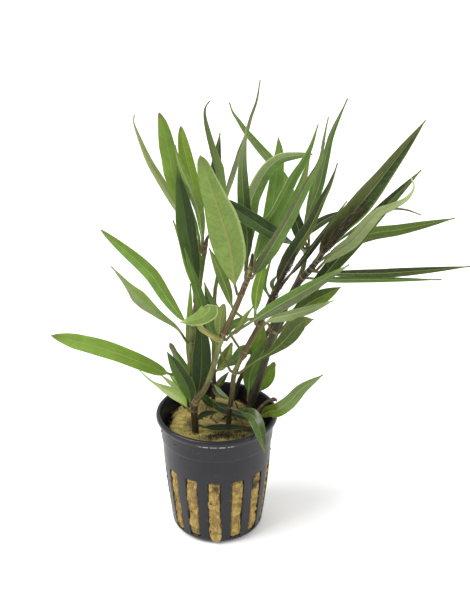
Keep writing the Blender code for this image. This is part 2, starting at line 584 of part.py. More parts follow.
def leaf_solid(form, start, stations):
    """A thin closed blade: four corners at each station and a point at the tip."""
    curve = smooth_curve((start, *form["route"]), CURVE_STEPS)
    along = directions(curve)
    stalk = form["stalk"]
    shares = [0.0]
    if stalk > LONG_STALK:
        shares += [stalk * s for s in BENT_STATIONS]
    if stalk * np.linalg.norm(curve[-1] - curve[0]) > 1.5:
        shares.append(0.9 * stalk)
    shares += [stalk + (1 - stalk) * s for s in stations]
    lift = math.radians(form["fold"])
    points, faces = [], []
    for share in shares:
        i = round(share * (CURVE_STEPS - 1))
        face = FACING - along[i] * np.dot(along[i], FACING)
        face = turned(face / np.linalg.norm(face), along[i], form["turn"] + form["twist"] * share)
        across = np.cross(along[i], face)
        half = half_width(form, share)
        thick = LEAF_HALF_THICKNESS if share > stalk else STALK_HALF_THICKNESS
        raised = face * half * math.sin(lift)
        points.append(curve[i] - across * half * math.cos(lift) + raised)
        points.append(curve[i] + face * thick)
        points.append(curve[i] + across * half * math.cos(lift) + raised)
        points.append(curve[i] - face * thick)
    points.append(curve[-1])
    faces.append((0, 1, 2, 3))
    last = 4 * (len(shares) - 1)
    for row in range(len(shares) - 1):
        for k in range(4):
            n = (k + 1) % 4
            low, high = 4 * row, 4 * (row + 1)
            faces.append((low + k, high + k, high + n, low + n))
    for k in range(4):
        faces.append((last + k, len(points) - 1, last + (k + 1) % 4))
    return points, faces


def fuse(stem, name, form, start):
    """Joins a small leaf to its stem's body."""
    small = make_piece(name, "leaf", *leaf_solid(form, start, SMALL_STATIONS))
    small.hide_render = True
    small.display_type = "WIRE"
    join = stem.modifiers.new(name, "BOOLEAN")
    join.operation = "UNION"
    join.solver = "EXACT"
    join.object = small


def plant():
    for name, plan in STEMS.items():
        stem = Stem(**plan)
        solid = make_piece(name, "stem", *stem.solid())
        side = name.removeprefix("stem_")
        for number, form in enumerate(SMALL_LEAVES[name], 1):
            start = stem.beside(form["height"], form["route"][0], SMALL_LEAF_ROOT)
            fuse(solid, f"small_{side}_{number}", form, start)
        for number, form in enumerate(LEAVES[name], 1):
            start = stem.beside(form["height"], form["route"][0])
            kind = "pale_leaf" if 90 < form["turn"] < 270 else "leaf"
            make_piece(f"leaf_{side}_{number}", kind, *leaf_solid(form, start, LEAF_STATIONS))


def main():
    clear_scene()
    net_pot()
    rockwool()
    twig()
    plant()


main()
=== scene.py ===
"""Visible pieces of a potted hygrophila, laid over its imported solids.

Shapes are worked out in millimetres and made metres as each mesh is built. +Z is up, the origin
is the middle of the pot's base and -Y is the front of the plant.
"""

import math

import bmesh
import bpy
import numpy as np
from bpy.props import FloatProperty, FloatVectorProperty, IntProperty, PointerProperty
from bpy.types import Operator, Panel, PropertyGroup
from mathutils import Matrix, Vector


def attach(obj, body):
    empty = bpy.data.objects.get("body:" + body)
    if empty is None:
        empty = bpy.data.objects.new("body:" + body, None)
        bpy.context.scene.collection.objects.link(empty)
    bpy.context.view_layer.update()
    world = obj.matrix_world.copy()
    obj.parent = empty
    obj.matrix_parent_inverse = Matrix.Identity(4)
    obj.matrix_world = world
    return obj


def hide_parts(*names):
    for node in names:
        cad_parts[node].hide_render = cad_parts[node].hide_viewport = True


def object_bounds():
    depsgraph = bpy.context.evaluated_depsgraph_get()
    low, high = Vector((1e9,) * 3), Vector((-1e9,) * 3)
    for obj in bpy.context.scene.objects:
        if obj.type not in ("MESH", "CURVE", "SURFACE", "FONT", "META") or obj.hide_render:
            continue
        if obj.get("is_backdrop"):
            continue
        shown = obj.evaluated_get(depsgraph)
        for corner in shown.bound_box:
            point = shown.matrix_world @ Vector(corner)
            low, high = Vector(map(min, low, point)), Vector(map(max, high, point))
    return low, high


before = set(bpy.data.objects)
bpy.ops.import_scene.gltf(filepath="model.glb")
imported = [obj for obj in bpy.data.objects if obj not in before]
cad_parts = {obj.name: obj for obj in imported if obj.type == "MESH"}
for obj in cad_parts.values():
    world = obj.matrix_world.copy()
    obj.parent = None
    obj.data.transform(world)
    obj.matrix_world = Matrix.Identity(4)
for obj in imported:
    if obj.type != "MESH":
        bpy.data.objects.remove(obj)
SOLIDS_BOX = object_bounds()

bl_info = {
    "name": "Potted Hygrophila",
    "version": (1, 0, 0),
    "blender": (4, 5, 0),
    "location": "View3D > Sidebar > Hygrophila",
    "description": "Net pot, rockwool, stems and leaves of a potted hygrophila",
    "category": "Object",
}

MM = 0.001
BODY = "root"

# Seeds of the random draws
POT_SEED = 11
WOOL_SEED = 5
BRISTLE_SEED = 8
LEAF_SEED = 100
SHOOT_SEED = 300

# Directions: straight up, and one that no fibre is likely to have
UP = np.array((0.0, 0.0, 1.0))
OFF_AXIS = np.array((0.31, 0.23, 0.92))

# Net pot
POT_HEIGHT = 55.6
BASE_RADIUS = 19.3
WALL_RADIUS = 23.4
WALL_CURVE = 1.62
WALL_SLOPE = 0.11
COLLAR_FOOT = 44.6
WALL = 1.2
FLOOR = 1.5
SLOTS = 14
PITCH = 360.0 / SLOTS
SLOT_FOOT = 3.2
SLOT_TOP = 33.5
SLOT_SHARE = 0.54
SLOT_HALF = 0.5 * SLOT_SHARE * PITCH
SLOT_TURN = -92.5
CELL_FOOT = 2.2
CELL_TOP = 36.0
DRAIN_INNER = 7.0
DRAIN_OUTER = 13.0
CELL_COLUMNS = 16
CELL_ROWS = 44
DRAIN_CELL_HALF = 5.0
DRAIN_CELL_ROWS = 12
DRAIN_CORNER = 0.5
DRAIN_EDGE = 0.2
# Colour of the painted broken highlight under the front of the rim
RIM_GLINT = (0.42, 0.44, 0.48)

# Rockwool
WOOL_TOP = 49.5
# Where the plug stands back from the pot: angle, half spread and depth
WOOL_GAPS = ((175.0, 34.0, 2.6), (22.0, 46.0, 3.4))
WOOL_GAP_FOOT = 36.0
WOOL_GAP_HEAD = 45.0
WOOL_CLEARANCE = 0.12
WOOL_COLUMNS = 560
LUMP_RADIUS = 21.0
EDGE_START = 0.93
EDGE_SPAN = 0.07
EDGE_FALL = 1.2
# Each stain, and on the top painted shadow of the foliage as well: its middle, its reach along each axis and
# its strength
WOOL_STAINS_AND_SHADE = (
    (-10.5, -2.0, 49, 3.5, 7.0, 4, 0.9), (-1.2, -2.5, 49, 6, 3.0, 4, 0.7), (3.5, -11.3, 49, 8.5, 2.4, 3, 1.3),
    (12.5, -8, 49, 5.5, 5.0, 4, 1.1), (9.5, -3, 49, 6, 4, 4, 0.8), (2, 3.3, 49, 5, 3.5, 4, 0.7),
    (-5, 11, 49, 7, 6, 4, 0.7), (13, 9, 49, 8, 8, 4, 0.8), (-20, 8, 49, 2.5, 7, 4, 0.6),
    (-0.5, -23, 30, 1.6, 4, 3.5, 0.8), (-1.4, -23, 23, 2.4, 4, 1.0, 0.75), (1.6, -23, 26, 0.9, 4, 4, 0.8),
    (15.5, -16, 28.5, 3.0, 4, 2.6, 1.1), (15.0, -17, 33, 3.0, 4, 2.5, 0.7), (-16, -16, 31, 1.4, 4, 8, 0.5),
    (-17.6, -14.6, 12, 1.0, 4, 12, 0.6),
)

# Each fold of the wool that hangs out of the front slot: x, z, half its width and half its height
TUFT_FOLDS = (
    (-0.9, 26.5, 2.0, 3.4), (-1.5, 22.0, 2.3, 2.6), (-1.1, 17.8, 2.7, 3.2), (-0.7, 13.0, 2.5, 3.4),
    (-0.5, 8.2, 2.6, 3.4), (-0.6, 4.6, 2.3, 2.6),
)
BUD = np.array((18.5, 19.0, 73.0))

# Each branch of the twig: its points, and its radius at the thick end and the thin end
TWIG_BRANCHES = (
    (((15.5, 8.4, 48.6), (17.5, 8, 50.0), (21, 7, 55), (23.5, 6, 57.4), (25.4, 5, 58.2)), 1.2, 0.7),
    (((23.2, 6.1, 57.1), (24.4, 5.9, 57.2), (25.9, 5.2, 57.3)), 0.6, 0.3),
    (((19.2, 7.6, 52.4), (19.4, 6.4, 53.2), (19.8, 5.6, 54.6)), 0.45, 0.2),
)

# Stems
GAP = 0.3
CURVE_STEPS = 180
STEM_SIDES = 16
STEM_SUNK = 3.0
LOWEST_NODE = 56.0
BRISTLE_RADIUS = 0.12
TWIG_SIDES = 12

# Leaves
LEAF_CLEARANCE = 0.95
STALK_HALF_WIDTH = 0.55
FACING = np.array((0.0, -0.9, 0.43))
HALF_COLUMNS = (0.08, 0.2, 0.38, 0.58, 0.76, 0.9, 1.0)
BLADE_COLUMNS = np.array((*(-c for c in reversed(HALF_COLUMNS)), 0.0, *HALF_COLUMNS))
# How far along a leaf its side veins run for each millimetre across, and by what share of their
# distance the right ones are shifted
VEIN_SLANT = 1.25
VEIN_STAGGER = 0.45
FEWEST_STATIONS = 24
DARKER = 0.62
SEED_STEP = 7.3


def linear_colour(red, green, blue):
    """Linear colour from the 0 to 255 values that a screen shows."""
    shares = [c / 255 for c in (red, green, blue)]
    return tuple(s / 12.92 if s <= 0.04045 else ((s + 0.055) / 1.055) ** 2.4 for s in shares)


def tinted(colour, gain, lift=0.0):
    """A colour made lighter or darker."""
    return tuple(min(1.0, c * gain + lift) for c in colour)


def length_setting(name, description, default):
    return FloatProperty(
        name=name, description=description, default=default, min=0.0, unit="LENGTH", subtype="DISTANCE",
        precision=5,
    )


def colour_setting(name, description, red, green, blue):
    return FloatVectorProperty(
        name=name, description=description, default=linear_colour(red, green, blue), subtype="COLOR",
        size=3, min=0.0, max=1.0,
    )


# Settings


class HYGROPHILA_PG_pot(PropertyGroup):
    slot_corner: length_setting("Slot corner", "Radius of the slots' corners", 0.0007)
    slot_round: length_setting("Slot edge", "Rounding of the slots' edges", 0.0003)
    speck_count: IntProperty(name="Specks", description="Grains of dirt stuck to the wall", default=46, min=0)
    plastic: colour_setting("Plastic", "Colour of the moulded plastic", 18, 18, 25)
    dirt: colour_setting("Dirt", "Colour of the grains of dirt", 34, 30, 24)


class HYGROPHILA_PG_wool(PropertyGroup):
    bulge: length_setting("Bulge", "How far the wool swells out of the slots", 0.0004)
    lumps: length_setting("Lumps", "Height of the lumps in the wool", 0.0008)
    fibre: length_setting("Fibre", "Radius of a loose fibre", 0.00008)
    slot_fibres: IntProperty(name="Slot fibres", description="Loose fibres in each slot", default=260, min=0)
    top_fibres: IntProperty(name="Top fibres", description="Loose fibres on the top", default=2600, min=0)
    yellow: colour_setting("Yellow", "Clean rockwool", 186, 158, 86)
    khaki: colour_setting("Khaki", "Damp rockwool", 140, 116, 66)
    stain: colour_setting("Stain", "Stained rockwool", 76, 58, 30)
    top: colour_setting("Top", "Bleached top of the plug", 184, 174, 98)
    moss: colour_setting("Moss", "Dark mossy fibres", 56, 52, 30)
    scrap_count: IntProperty(name="Scraps", description="Dark leaf scraps among the stems", default=10, min=0)


class HYGROPHILA_PG_stems(PropertyGroup):
    node_swelling: FloatProperty(
        name="Node swelling", description="How much a stem swells at a node", default=0.14, min=0.0,
        subtype="FACTOR",
    )
    ring_pitch: length_setting("Ring pitch", "Distance between the rings of a stem's mesh", 0.0007)
    bark: colour_setting("Bark", "Brown side of a stem", 106, 84, 50)
    green: colour_setting("Green", "Green side of a stem", 126, 138, 72)
    ring: colour_setting("Node ring", "Pale ring round a node", 158, 144, 100)
    foot: colour_setting("Foot", "Dark foot of a stem", 36, 30, 22)
    twig: colour_setting("Twig", "Dead twig", 116, 98, 64)


class HYGROPHILA_PG_leaves(PropertyGroup):
    station_pitch: length_setting("Station pitch", "Distance between the cross sections of a leaf", 0.0008)
    thickness: length_setting("Thickness", "Half the blade's thickness beside the midrib", 0.00013)
    keel: length_setting("Keel", "Height of the midrib under the blade", 0.00032)
    vein_pitch: length_setting("Vein pitch", "Distance between side veins", 0.0042)
    quilting: length_setting("Quilting", "Swelling of the blade between its side veins", 0.00005)
    fresh: colour_setting("Fresh", "Young bright leaf", 126, 160, 54)
    mid: colour_setting("Green", "Usual leaf", 86, 116, 46)
    deep: colour_setting("Deep", "Dark leaf", 44, 62, 26)
    lime: colour_setting("Lime", "Yellowish leaf that the light shines through", 112, 140, 40)
    olive: colour_setting("Olive", "Olive leaf", 94, 104, 50)
    grey: colour_setting("Grey", "Greyish leaf", 130, 146, 96)
    under: colour_setting("Underside", "Underside of a leaf", 126, 152, 72)
    pale: colour_setting("Pale", "Pale underside", 170, 184, 124)
    rib: colour_setting("Midrib", "Midrib and veins", 160, 172, 112)
    stalk: colour_setting("Stalk", "Stalk of a leaf", 96, 92, 52)
    brown: colour_setting("Brown", "Brown tips and bases", 96, 78, 60)


class HYGROPHILA_PG_stage(PropertyGroup):
    floor_size: FloatProperty(
        name="Floor", description="Side of the square floor", default=8.0, min=0.5, unit="LENGTH",
        subtype="DISTANCE",
    )
    floor: colour_setting("Floor colour", "Plain pale floor", 250, 250, 249)
    sky: FloatProperty(name="Sky", description="Brightness all round", default=0.85, min=0.0)
    left_light: FloatProperty(
        name="Left light", description="Power of the large light on the left", default=820.0, min=0.0,
        unit="POWER",
    )
    right_light: FloatProperty(
        name="Right light", description="Power of the narrow light on the right", default=180.0, min=0.0,
        unit="POWER",
    )


# Shared shapes


def smooth_step(values, low, high):
    x = np.clip((np.asarray(values, float) - low) / (high - low), 0.0, 1.0)
    return x * x * (3 - 2 * x)


def rumple(points, size, seed, waves=9):
    """Smooth uneven values from about -1 to 1, with humps about as large as size."""
    points = np.asarray(points, float)
    source = np.random.default_rng(seed)
    total = np.zeros(points.shape[:-1])
    for _ in range(waves):
        heading = source.normal(size=3)
        heading *= source.uniform(0.6, 1.5) * math.pi / size / np.linalg.norm(heading)
        total += np.sin(points @ heading + source.uniform(0, 2 * math.pi))
    return total / math.sqrt(waves / 2) / 1.6


def smooth_curve(points, count):
    """Points evenly spaced along a smooth curve through the given ones."""
    points = np.asarray(points, float)
    if len(points) == 2:
        return np.linspace(points[0], points[1], count)
    reach = np.concatenate(([0.0], np.cumsum(np.linalg.norm(np.diff(points, axis=0), axis=1))))
    ends = (2 * points[0] - points[1], 2 * points[-1] - points[-2])
    held = np.vstack((ends[0], points, ends[1]))
    places = np.concatenate(([-reach[1]], reach, [2 * reach[-1] - reach[-2]]))
    curve = []
    for s in np.linspace(0.0, reach[-1], count * 3):
        i = min(max(int(np.searchsorted(reach, s, side="right")), 1), len(points) - 1)
        step = places[i + 1] - places[i]
        x = (s - places[i]) / step
        out_slope = (held[i + 1] - held[i - 1]) / (places[i + 1] - places[i - 1])
        in_slope = (held[i + 2] - held[i]) / (places[i + 2] - places[i])
        curve.append(
            (2 * x**3 - 3 * x**2 + 1) * held[i]
            + (x**3 - 2 * x**2 + x) * step * out_slope
            + (3 * x**2 - 2 * x**3) * held[i + 1]
            + (x**3 - x**2) * step * in_slope
        )
    curve = np.array(curve)
    run = np.concatenate(([0.0], np.cumsum(np.linalg.norm(np.diff(curve, axis=0), axis=1))))
    return pick(curve, run, np.linspace(0.0, run[-1], count))


def pick(curve, places, wanted):
    """Rows of a curve at the wanted places along it."""
    return np.stack([np.interp(wanted, places, curve[:, k]) for k in range(curve.shape[1])], axis=1)


def unit(vectors):
    return vectors / np.linalg.norm(vectors, axis=-1, keepdims=True)


def polar(radius, angles, heights):
    """Points round the pot's axis, at angles in radians."""
    return np.stack(np.broadcast_arrays(radius * np.cos(angles), radius * np.sin(angles), heights), axis=-1)


def directions(curve):
    return unit(np.gradient(curve, axis=0))


def grid_faces(rows, columns, closed=True):
    """Four-sided faces between the points of rows by columns."""
    across = columns if closed else columns - 1
    row, column = np.meshgrid(np.arange(rows - 1), np.arange(across), indexing="ij")
    beyond = (column + 1) % columns
    low, high = row * columns, (row + 1) * columns
    return np.stack((low + column, low + beyond, high + beyond, high + column), axis=-1).reshape(-1, 4)


def tube(curve, radii, sides, squareness=0.0):
    """Rings of a round tube with both ends closed, and the angle of every point."""
    along = directions(curve)
    turn = np.arange(sides) * 2 * math.pi / sides
    side = np.array((1.0, 0.0, 0.0))
    rings = []
    for centre, axis, radius in zip(curve, along, radii):
        side = unit(side - axis * np.dot(side, axis))
        up = np.cross(axis, side)
        reach = radius * (1 + squareness * np.cos(4 * turn))[:, None]
        rings.append(centre + reach * (np.cos(turn)[:, None] * side + np.sin(turn)[:, None] * up))
    points = np.concatenate(rings)
    faces = grid_faces(len(curve), sides).tolist()
    faces.append(list(range(sides)))
    faces.append(list(range((len(curve) - 1) * sides, len(curve) * sides)))
    return points, faces, np.tile(turn, len(curve))


def joined(parts):
    """One list of points, faces and values from several."""
    points, faces, values, count = [], [], {}, 0
    for part_points, part_faces, part_values in parts:
        points.append(part_points)
        faces += [[corner + count for corner in face] for face in part_faces]
        for name, value in part_values.items():
            values.setdefault(name, []).append(value)
        count += len(part_points)
    return np.concatenate(points), faces, {n: np.concatenate(v) for n, v in values.items()}


def new_piece(name, made, skin, nodes=(), crease=60.0, weld=0.0):
    """A mesh object that rides on the plant's body, from points in millimetres, faces and values."""
    points, faces, values = made
    mesh = bpy.data.meshes.new(name)
    mesh.from_pydata((np.asarray(points) * MM).tolist(), [], [list(face) for face in faces])
    for key, value in values.items():
        if value.ndim == 2:
            mesh.attributes.new(key, "FLOAT_VECTOR", "POINT").data.foreach_set("vector", value.ravel())
        else:
            mesh.attributes.new(key, "FLOAT", "POINT").data.foreach_set("value", value)
    shape = bmesh.new()
    shape.from_mesh(mesh)
    if weld:
        bmesh.ops.remove_doubles(shape, verts=shape.verts, dist=weld * MM)
    bmesh.ops.recalc_face_normals(shape, faces=shape.faces)
    shape.to_mesh(mesh)
    shape.free()
    mesh.shade_smooth()
    mesh.set_sharp_from_angle(angle=math.radians(crease))
    mesh.materials.append(skin)
    piece = bpy.data.objects.new(name, mesh)
    bpy.context.scene.collection.objects.link(piece)
    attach(piece, BODY)
    if nodes:
        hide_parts(*nodes)


# Materials


# The sockets of a mix node that hold colours
MIX_FIRST = 6
MIX_SECOND = 7
MIX_RESULT = 2


class Skin:
    """A material and the means to add nodes to it."""

    def __init__(self, name):
        self.material = bpy.data.materials.new(name)
        self.material.use_nodes = True
        self.nodes = self.material.node_tree.nodes
        self.links = self.material.node_tree.links
        self.shader = self.nodes["Principled BSDF"]

    def put(self, socket, value):
        if isinstance(value, bpy.types.NodeSocket):
            self.links.new(value, socket)
        elif socket.type == "RGBA":
            socket.default_value = (*value[:3], 1.0)
        else:
            socket.default_value = value

    def finish(self, **values):
        """Sets the shader's sockets, each named with underscores for spaces."""
        for key, value in values.items():
            self.put(self.shader.inputs[key.replace("_", " ")], value)
        return self.material

    def value(self, name, output="Fac"):
        """A value that the mesh carries at its points."""
        node = self.nodes.new("ShaderNodeAttribute")
        node.attribute_name = name
        return node.outputs[output]

    def parts(self, vector):
        node = self.nodes.new("ShaderNodeSeparateXYZ")
        self.put(node.inputs[0], vector)
        return node.outputs

    def vector(self, x=0.0, y=0.0, z=0.0):
        node = self.nodes.new("ShaderNodeCombineXYZ")
        for socket, value in zip(node.inputs, (x, y, z)):
            self.put(socket, value)
        return node.outputs[0]

    def calc(self, operation, *values):
        node = self.nodes.new("ShaderNodeMath")
        node.operation = operation
        for socket, value in zip(node.inputs, values):
            self.put(socket, value)
        return node.outputs[0]

    def times(self, first, second):
        return self.calc("MULTIPLY", first, second)

    def plus(self, first, second):
        return self.calc("ADD", first, second)

    def less(self, first, second):
        return self.calc("SUBTRACT", first, second)

    def swing(self, noise, size):
        """A noise as a value that goes both ways from zero."""
        return self.times(self.less(noise, 0.5), size)

    def step(self, value, low, high, start=0.0, end=1.0):
        """Start where the value is at low, end where it is at high, and a smooth change between them."""
        node = self.nodes.new("ShaderNodeMapRange")
        node.interpolation_type = "SMOOTHSTEP"
        for socket, given in zip(node.inputs, (value, low, high, start, end)):
            self.put(socket, given)
        return node.outputs[0]

    def mix(self, share, first, second):
        """The first colour with a share of the second over it."""
        node = self.nodes.new("ShaderNodeMix")
        node.data_type = "RGBA"
        self.put(node.inputs[0], share)
        self.put(node.inputs[MIX_FIRST], first)
        self.put(node.inputs[MIX_SECOND], second)
        return node.outputs[MIX_RESULT]

    def noise(self, vector, scale, detail=2.0, rough=0.5):
        node = self.nodes.new("ShaderNodeTexNoise")
        for key, given in (("Vector", vector), ("Scale", scale), ("Detail", detail), ("Roughness", rough)):
            self.put(node.inputs[key], given)
        return node.outputs["Fac"]

    def cells(self, vector, scale, feature="F1"):
        node = self.nodes.new("ShaderNodeTexVoronoi")
        node.feature = feature
        self.put(node.inputs["Vector"], vector)
        self.put(node.inputs["Scale"], scale)
        return node.outputs["Distance"]

    def place(self):
        """Object coordinates in millimetres."""
        node = self.nodes.new("ShaderNodeTexCoord")
        scaled = self.nodes.new("ShaderNodeVectorMath")
        scaled.operation = "SCALE"
        self.put(scaled.inputs[0], node.outputs["Object"])
        scaled.inputs["Scale"].default_value = 1 / MM
        return scaled.outputs[0]

    def bump(self, height, strength=0.5, distance=0.0002):
        node = self.nodes.new("ShaderNodeBump")
        node.inputs["Strength"].default_value = strength
        node.inputs["Distance"].default_value = distance
        self.put(node.inputs["Height"], height)
        return node.outputs[0]


def plastic_skin(name, colour):
    """Black plastic with a dusty film and dried drops, painted shade on its foot and in a band under the rim,
    and a painted broken highlight under the rim.
    """
    skin = Skin(name)
    place = skin.place()
    x, y, z = skin.parts(place)
    grain = skin.noise(place, 1.6, 5.0, 0.6)
    film = skin.step(skin.noise(place, 0.09, 3.0, 0.6), 0.35, 0.75, 0.0, 0.45)
    base = skin.mix(film, colour, tinted(colour, 2.0, 0.004))
    marks = skin.step(skin.cells(place, 0.28), 0.10, 0.22, 0.30, 0.0)
    base = skin.mix(marks, base, tinted(colour, 2.4, 0.01))
    # Painted shade: the plastic darkens towards its foot and in a band under the rim.
    dark = tinted(colour, 0.4)
    base = skin.mix(skin.step(z, 30.0, 6.0, 0.0, 0.7), base, dark)
    under = skin.times(skin.step(z, 50.2, 51.6), skin.step(z, 53.4, 52.8))
    base = skin.mix(skin.times(under, 0.7), base, dark)
    # A painted highlight: a broken pale line under the front of the rim.
    rim_glint = skin.times(skin.step(z, 51.9, 52.1), skin.step(z, 52.6, 52.4))
    rim_glint = skin.times(rim_glint, skin.step(y, -23.0, -24.0))
    rim_glint = skin.times(rim_glint, skin.step(skin.noise(skin.vector(x), 0.55, 2.0), 0.44, 0.52))
    base = skin.mix(rim_glint, base, RIM_GLINT)
    rough = skin.step(grain, 0.25, 0.8, 0.26, 0.44)
    return skin.finish(
        Base_Color=base, Roughness=rough, Normal=skin.bump(grain, 0.25, 0.00012), Specular_IOR_Level=0.34,
    )


def dirt_skin(name, colour):
    skin = Skin(name)
    grain = skin.noise(skin.place(), 2.2, 4.0)
    base = skin.mix(grain, colour, tinted(colour, 2.4, 0.02))
    return skin.finish(Base_Color=base, Roughness=0.7, Normal=skin.bump(grain, 0.6))


def wool_skin(name, wool):
    """Damp rockwool: upright fibres in its side, brown strands, a cleaner top, and dark mossy stains that
    also hold painted shadow of the foliage on the top.
    """
    skin = Skin(name)
    place = skin.place()
    x, y, z = skin.parts(place)
    upright = skin.vector(skin.times(x, 4.0), skin.times(y, 4.0), skin.times(z, 0.7))
    strands = skin.noise(upright, 0.8, 6.0, 0.7)
    lumps = skin.noise(place, 0.22, 4.0, 0.6)
    fine = skin.noise(place, 2.6, 4.0, 0.7)
    base = skin.mix(skin.step(lumps, 0.38, 0.60), wool.khaki, wool.yellow)
    base = skin.mix(skin.step(strands, 0.56, 0.72, 0.0, 0.45), base, wool.top)
    base = skin.mix(skin.step(strands, 0.48, 0.30, 0.0, 0.75), base, wool.stain)
    base = skin.mix(skin.step(fine, 0.55, 0.32, 0.0, 0.35), base, wool.stain)
    top = skin.times(skin.step(z, 44.0, 48.0), skin.step(fine, 0.3, 0.7, 0.30, 0.9))
    base = skin.mix(top, base, wool.top)
    # The stain value holds stains, darker tops of the tuft's folds and, on the plug's top, painted shadow of
    # the foliage.
    stain = skin.plus(skin.value("stain"), skin.swing(fine, 1.6))
    stain = skin.plus(stain, skin.swing(lumps, 0.8))
    base = skin.mix(skin.step(stain, 0.15, 0.6, 0.0, 0.85), base, wool.stain)
    base = skin.mix(skin.step(stain, 0.50, 1.0, 0.0, 0.9), base, wool.moss)
    height = skin.plus(strands, skin.times(fine, 0.6))
    return skin.finish(Base_Color=base, Roughness=0.92, Normal=skin.bump(height, 0.9, 0.0005))


def fibre_skin(name, dark, light):
    """Threads whose mesh says how light each of them is."""
    skin = Skin(name)
    base = skin.mix(skin.value("tone"), dark, light)
    base = skin.mix(skin.step(skin.noise(skin.place(), 1.4), 0.4, 0.7, 0.0, 0.35), base, dark)
    return skin.finish(Base_Color=base, Roughness=0.8)


def stem_skin(name, stems):
    """Ribbed stem, green or brown and lighter or darker as its mesh says, with painted shade down its two
    flanks and thin rings at its nodes.
    """
    skin = Skin(name)
    around, along, node = skin.parts(skin.value("place", "Vector"))
    green, dark, shaded_flank = skin.parts(skin.value("cast", "Vector"))
    ribs = skin.noise(skin.vector(skin.times(around, 3.0), skin.times(along, 0.12)), 1.3, 4.0, 0.6)
    wide = skin.noise(skin.vector(around, skin.times(along, 0.04), 5.0), 0.9, 2.0)
    patches = skin.noise(skin.vector(around, skin.times(along, 0.35), 3.0), 0.35, 3.0)
    share = skin.plus(green, skin.swing(patches, 1.6))
    base = skin.mix(skin.step(share, 0.25, 0.75), stems.bark, stems.green)
    base = skin.mix(skin.step(ribs, 0.54, 0.72, 0.0, 0.5), base, stems.ring)
    base = skin.mix(skin.step(ribs, 0.48, 0.34, 0.0, 0.7), base, stems.foot)
    base = skin.mix(skin.step(wide, 0.52, 0.40, 0.0, 0.7), base, stems.foot)
    # Painted shade down the stem's two flanks.
    base = skin.mix(skin.step(shaded_flank, 0.50, 0.92, 0.0, 0.65), base, stems.foot)
    base = skin.mix(dark, base, stems.foot)
    base = skin.mix(skin.step(node, 0.80, 0.97, 0.0, 0.45), base, stems.ring)
    height = skin.plus(ribs, skin.times(node, 0.2))
    rough = skin.step(ribs, 0.3, 0.7, 0.40, 0.60)
    return skin.finish(
        Base_Color=base, Roughness=rough, Normal=skin.bump(height, 0.6, 0.0003), Specular_IOR_Level=0.25,
    )


def bark_skin(name, colour, foot):
    """Dead bark with grooves along it and pale flecks."""
    skin = Skin(name)
    around, along, _ = skin.parts(skin.value("place", "Vector"))
    grain = skin.noise(skin.vector(skin.times(around, 2.0), skin.times(along, 0.5)), 1.6, 5.0, 0.7)
    base = skin.mix(skin.step(grain, 0.35, 0.65), foot, colour)
    flecks = skin.step(skin.noise(skin.place(), 1.3, 3.0), 0.66, 0.72, 0.0, 0.7)
    base = skin.mix(flecks, base, tinted(colour, 2.5, 0.1))
    return skin.finish(Base_Color=base, Roughness=0.75, Normal=skin.bump(grain, 0.8, 0.0004))


def side_veins(skin, across, along, spread, leaves):
    """1 on the side veins, which leave the midrib at a slant, the right ones between the left ones."""
    right = skin.step(across, -0.02, 0.02)
    sway = skin.times(skin.noise(spread, 0.25), 1.4)
    slant = skin.less(along, skin.times(skin.calc("ABSOLUTE", across), VEIN_SLANT))
    steps = skin.calc("DIVIDE", skin.plus(slant, sway), leaves.vein_pitch / MM)
    turn = skin.plus(steps, skin.times(right, VEIN_STAGGER))
    from_vein = skin.calc("ABSOLUTE", skin.less(skin.calc("FRACT", turn), 0.5))
    return skin.step(from_vein, 0.075, 0.02)


